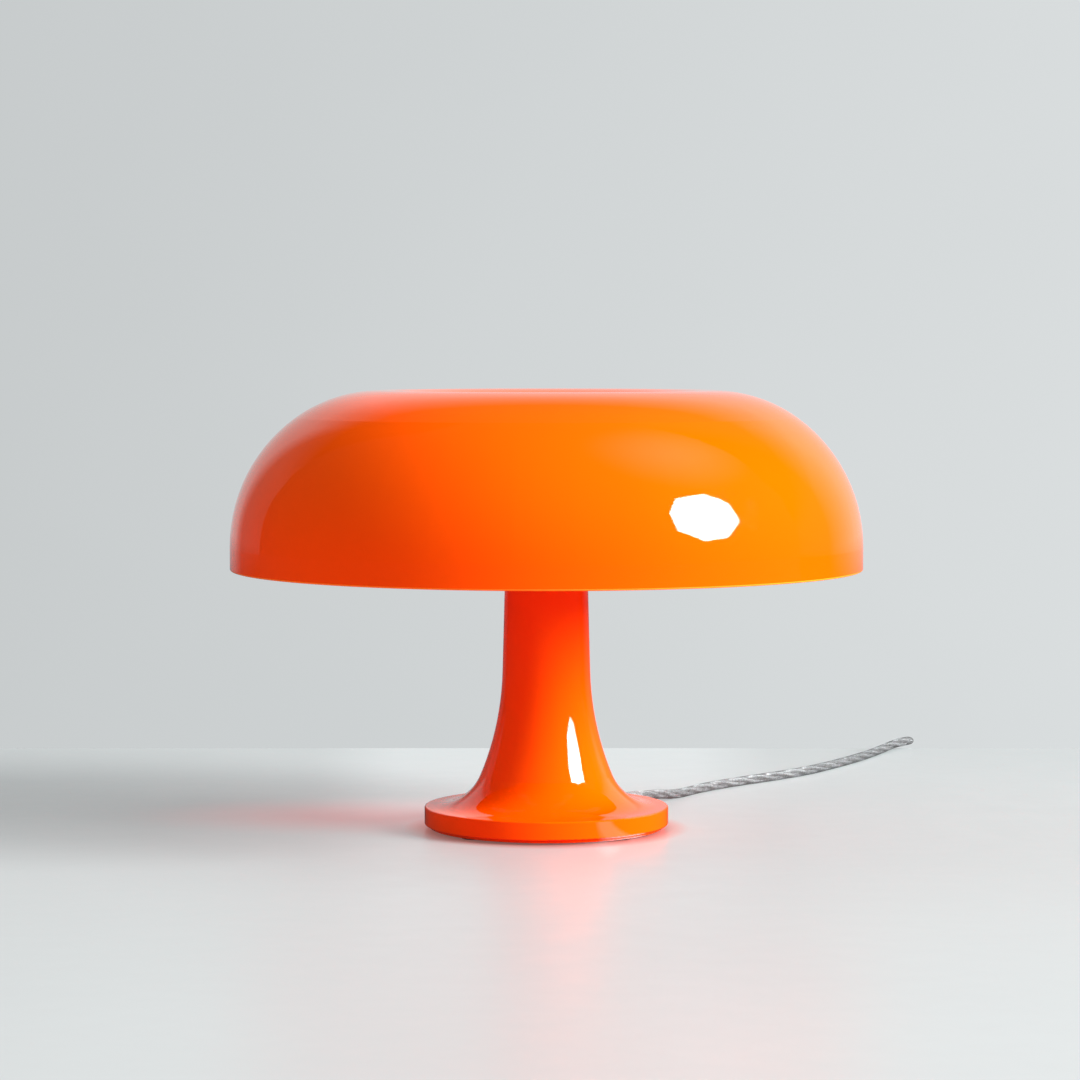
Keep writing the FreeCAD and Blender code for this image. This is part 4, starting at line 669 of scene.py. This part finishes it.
# ---------------------------------------------------------------- backdrop
WALL_Y = 0.338
WALL_LEFT = -0.733
WALL_RIGHT = 2.2
WALL_TOP = 1.6
# painted light: the backdrop darker at its left and lighter at its right
WALL_PAINTED_LIGHT = ((0.578, 0.604, 0.610), (0.694, 0.723, 0.730))
WALL_LIGHT_SPAN = (-0.33, 0.33)         # from the darker left to the lighter right
DIM_LEFT = (0.30, 1.0, (-0.44, -0.345))     # two levels, and the places where they are reached
DIM_RIGHT = (1.0, 0.1, (0.40, 0.80))
DIM_TOP = (1.0, 0.10, (0.42, 0.70))
DIM_FOOT = (0.2, 1.0, (0.09, 0.14))
DIM_BESIDE = (0.9, 0.2, (0.09, 0.14))       # the foot is dim beside the lamp, not straight behind it


def wall_in_reflections(tree):
    """How bright reflections show the wall: painted shade dims its ends, its top and most of its foot."""
    across = axis(tree, "X")
    height = axis(tree, "Z")
    behind = spread(tree, maths(tree, "ABSOLUTE", across), *DIM_BESIDE)
    foot = maths(tree, "MAXIMUM", spread(tree, height, *DIM_FOOT), behind)
    left = spread(tree, across, *DIM_LEFT)
    right = spread(tree, across, *DIM_RIGHT)
    return product(tree, left, right, spread(tree, height, *DIM_TOP), foot)


def make_wall():
    """Backdrop that is seen from the front only. It hides the put-away length of the lead."""
    wall = sheet("backdrop", [(WALL_LEFT, WALL_Y, 0), (WALL_RIGHT, WALL_Y, 0),
                              (WALL_RIGHT, WALL_Y, WALL_TOP), (WALL_LEFT, WALL_Y, WALL_TOP)])
    material, tree, glow, output = new_emission("backdrop_painted_light")
    # painted light: darker at the left, lighter at the right
    lit_share = spread(tree, axis(tree, "X"), 0.0, 1.0, WALL_LIGHT_SPAN)
    tree.links.new(mix_colour(tree, lit_share, *WALL_PAINTED_LIGHT), glow.inputs["Color"])
    reflected = add_node(tree, "LightPath").outputs["Is Glossy Ray"]
    dim = spread(tree, reflected, 1.0, wall_in_reflections(tree), (0.0, 1.0))
    cloud = spread(tree, noise(tree, 2.5, detail=4.0), 0.985, 1.015)
    tree.links.new(product(tree, cloud, dim), glow.inputs["Strength"])
    behind = add_node(tree, "NewGeometry").outputs["Backfacing"]
    surface = mix_shaders(tree, behind, glow.outputs[0], clear_shader(tree))
    tree.links.new(surface, output.inputs["Surface"])
    give(wall, material)
    seen_only_by(wall, camera=True, glossy=True, transmission=True)


# ---------------------------------------------------------------- light
SOFTBOX_PLACE = (2.574, -1.413, 1.393)
SOFTBOX_WAY = (44.4, 17.4)     # azimuth from -Y towards +X, and elevation, of what its back faces
SOFTBOX_RADIUS = 0.814
SOFTBOX_SIDES = 8
SOFTBOX_FIRST_CORNER = 166.7
SOFTBOX_GLOW = 48.0
KEY_WAY = (71.0, 23.0)         # the softbox's light, further round than its reflection
KEY_DISTANCE = 6.5
KEY_RADIUS = 1.8
KEY_POWER = 1250.0
PATCH_WAY = (80.0, 60.0)
PATCH_DISTANCE = 2.2
PATCH_RADIUS = 0.95
PATCH_SIDES = 32
PATCH_GLOW = 0.85
PATCH_POWER = 12.0
PATCH_LAMP_RADIUS = 0.8


def facing(azimuth, elevation):
    """Unit vectors of a card: out of its back, to its right and up its face, seen from the lamp."""
    a = math.radians(azimuth)
    e = math.radians(elevation)
    away = Vector((math.sin(a) * math.cos(e), -math.cos(a) * math.cos(e), math.sin(e)))
    right = Vector((math.cos(a), math.sin(a), 0))
    up = right.cross(away)
    if up.z < 0:
        up = -up
    return away, right, up


def round_card(name, centre, way, radius, angles):
    """A card that faces against this way, with its corners on a circle at these angles, in degrees."""
    _, right, up = facing(*way)
    spokes = [right * math.cos(math.radians(a)) + up * math.sin(math.radians(a)) for a in angles]
    return sheet(name, [centre + spoke * radius for spoke in spokes])


def add_lamp(name, way, distance, radius, power):
    """A round soft lamp that faces the origin. Reflections don't show it."""
    away = facing(*way)[0]
    data = bpy.data.lights.new(name, "AREA")
    data.shape = "DISK"
    data.size = 2 * radius
    data.energy = power
    lamp = add_object(name, data)
    lamp.location = away * distance
    lamp.rotation_mode = "QUATERNION"
    lamp.rotation_quaternion = (-away).to_track_quat("-Z", "Y")
    lamp.visible_glossy = False
    lamp.visible_camera = False


def keep_light_off(source, receiver):
    """This card isn't reflected in that piece, which it would burn out to white."""
    group = bpy.data.collections.new(source.name + "_not_on")
    group.objects.link(receiver)
    group.collection_objects[0].light_linking.link_state = "EXCLUDE"
    source.light_linking.receiver_collection = group


def make_softbox(table):
    """Eight-sided softbox: a disc lamp that lights, and a card that only reflections see."""
    centre = Vector(SOFTBOX_PLACE)
    angles = [SOFTBOX_FIRST_CORNER - 360 / SOFTBOX_SIDES * k for k in range(SOFTBOX_SIDES)]
    card = round_card("softbox_face", centre, SOFTBOX_WAY, SOFTBOX_RADIUS, angles)
    material, tree, glow, _ = new_emission("softbox_cloth")
    edge = (SOFTBOX_RADIUS * 0.5, SOFTBOX_RADIUS)
    strength = spread(tree, distance_from(tree, centre), SOFTBOX_GLOW, SOFTBOX_GLOW * 0.5, edge)
    tree.links.new(strength, glow.inputs["Strength"])
    give(card, material)
    seen_only_by(card, glossy=True)
    keep_light_off(card, table)
    add_lamp("softbox_lamp", KEY_WAY, KEY_DISTANCE, KEY_RADIUS, KEY_POWER)


def make_ceiling_patch():
    """Soft round light over the lamp's right, with the card that reflections see."""
    add_lamp("ceiling_lamp", PATCH_WAY, PATCH_DISTANCE, PATCH_LAMP_RADIUS, PATCH_POWER)
    centre = facing(*PATCH_WAY)[0] * PATCH_DISTANCE
    angles = [360 / PATCH_SIDES * k for k in range(PATCH_SIDES)]
    card = round_card("ceiling_patch", centre, PATCH_WAY, PATCH_RADIUS, angles)
    material, tree, glow, output = new_emission("ceiling_patch")
    glow.inputs["Strength"].default_value = PATCH_GLOW
    fade = smooth_fade(tree, distance_from(tree, centre), PATCH_RADIUS)
    surface = mix_shaders(tree, fade, clear_shader(tree), glow.outputs[0])
    tree.links.new(surface, output.inputs["Surface"])
    give(card, material)
    seen_only_by(card, glossy=True)


def make_world():
    """Pale to the eye and through glass; a dim even room for everything else."""
    world = bpy.data.worlds.new("studio")
    bpy.context.scene.world = world
    world.use_nodes = True
    tree = world.node_tree
    tree.nodes.clear()
    path = add_node(tree, "LightPath")
    glow = spread(tree, path.outputs["Is Glossy Ray"], ROOM_GLOW, ROOM_REFLECTED, (0.0, 1.0))
    room = add_node(tree, "Background", {"Color": rgba(ROOM_COLOUR), "Strength": glow}).outputs[0]
    pale = add_node(tree, "Background", {"Color": rgba(ROOM_PALE), "Strength": 1.0}).outputs[0]
    add_node(tree, "OutputWorld", {"Surface": mix_shaders(tree, looked_at(tree, path), room, pale)})


table = make_table()
make_wall()
make_softbox(table)
make_ceiling_patch()
make_world()

bpy.context.scene.view_settings.view_transform = "Standard"
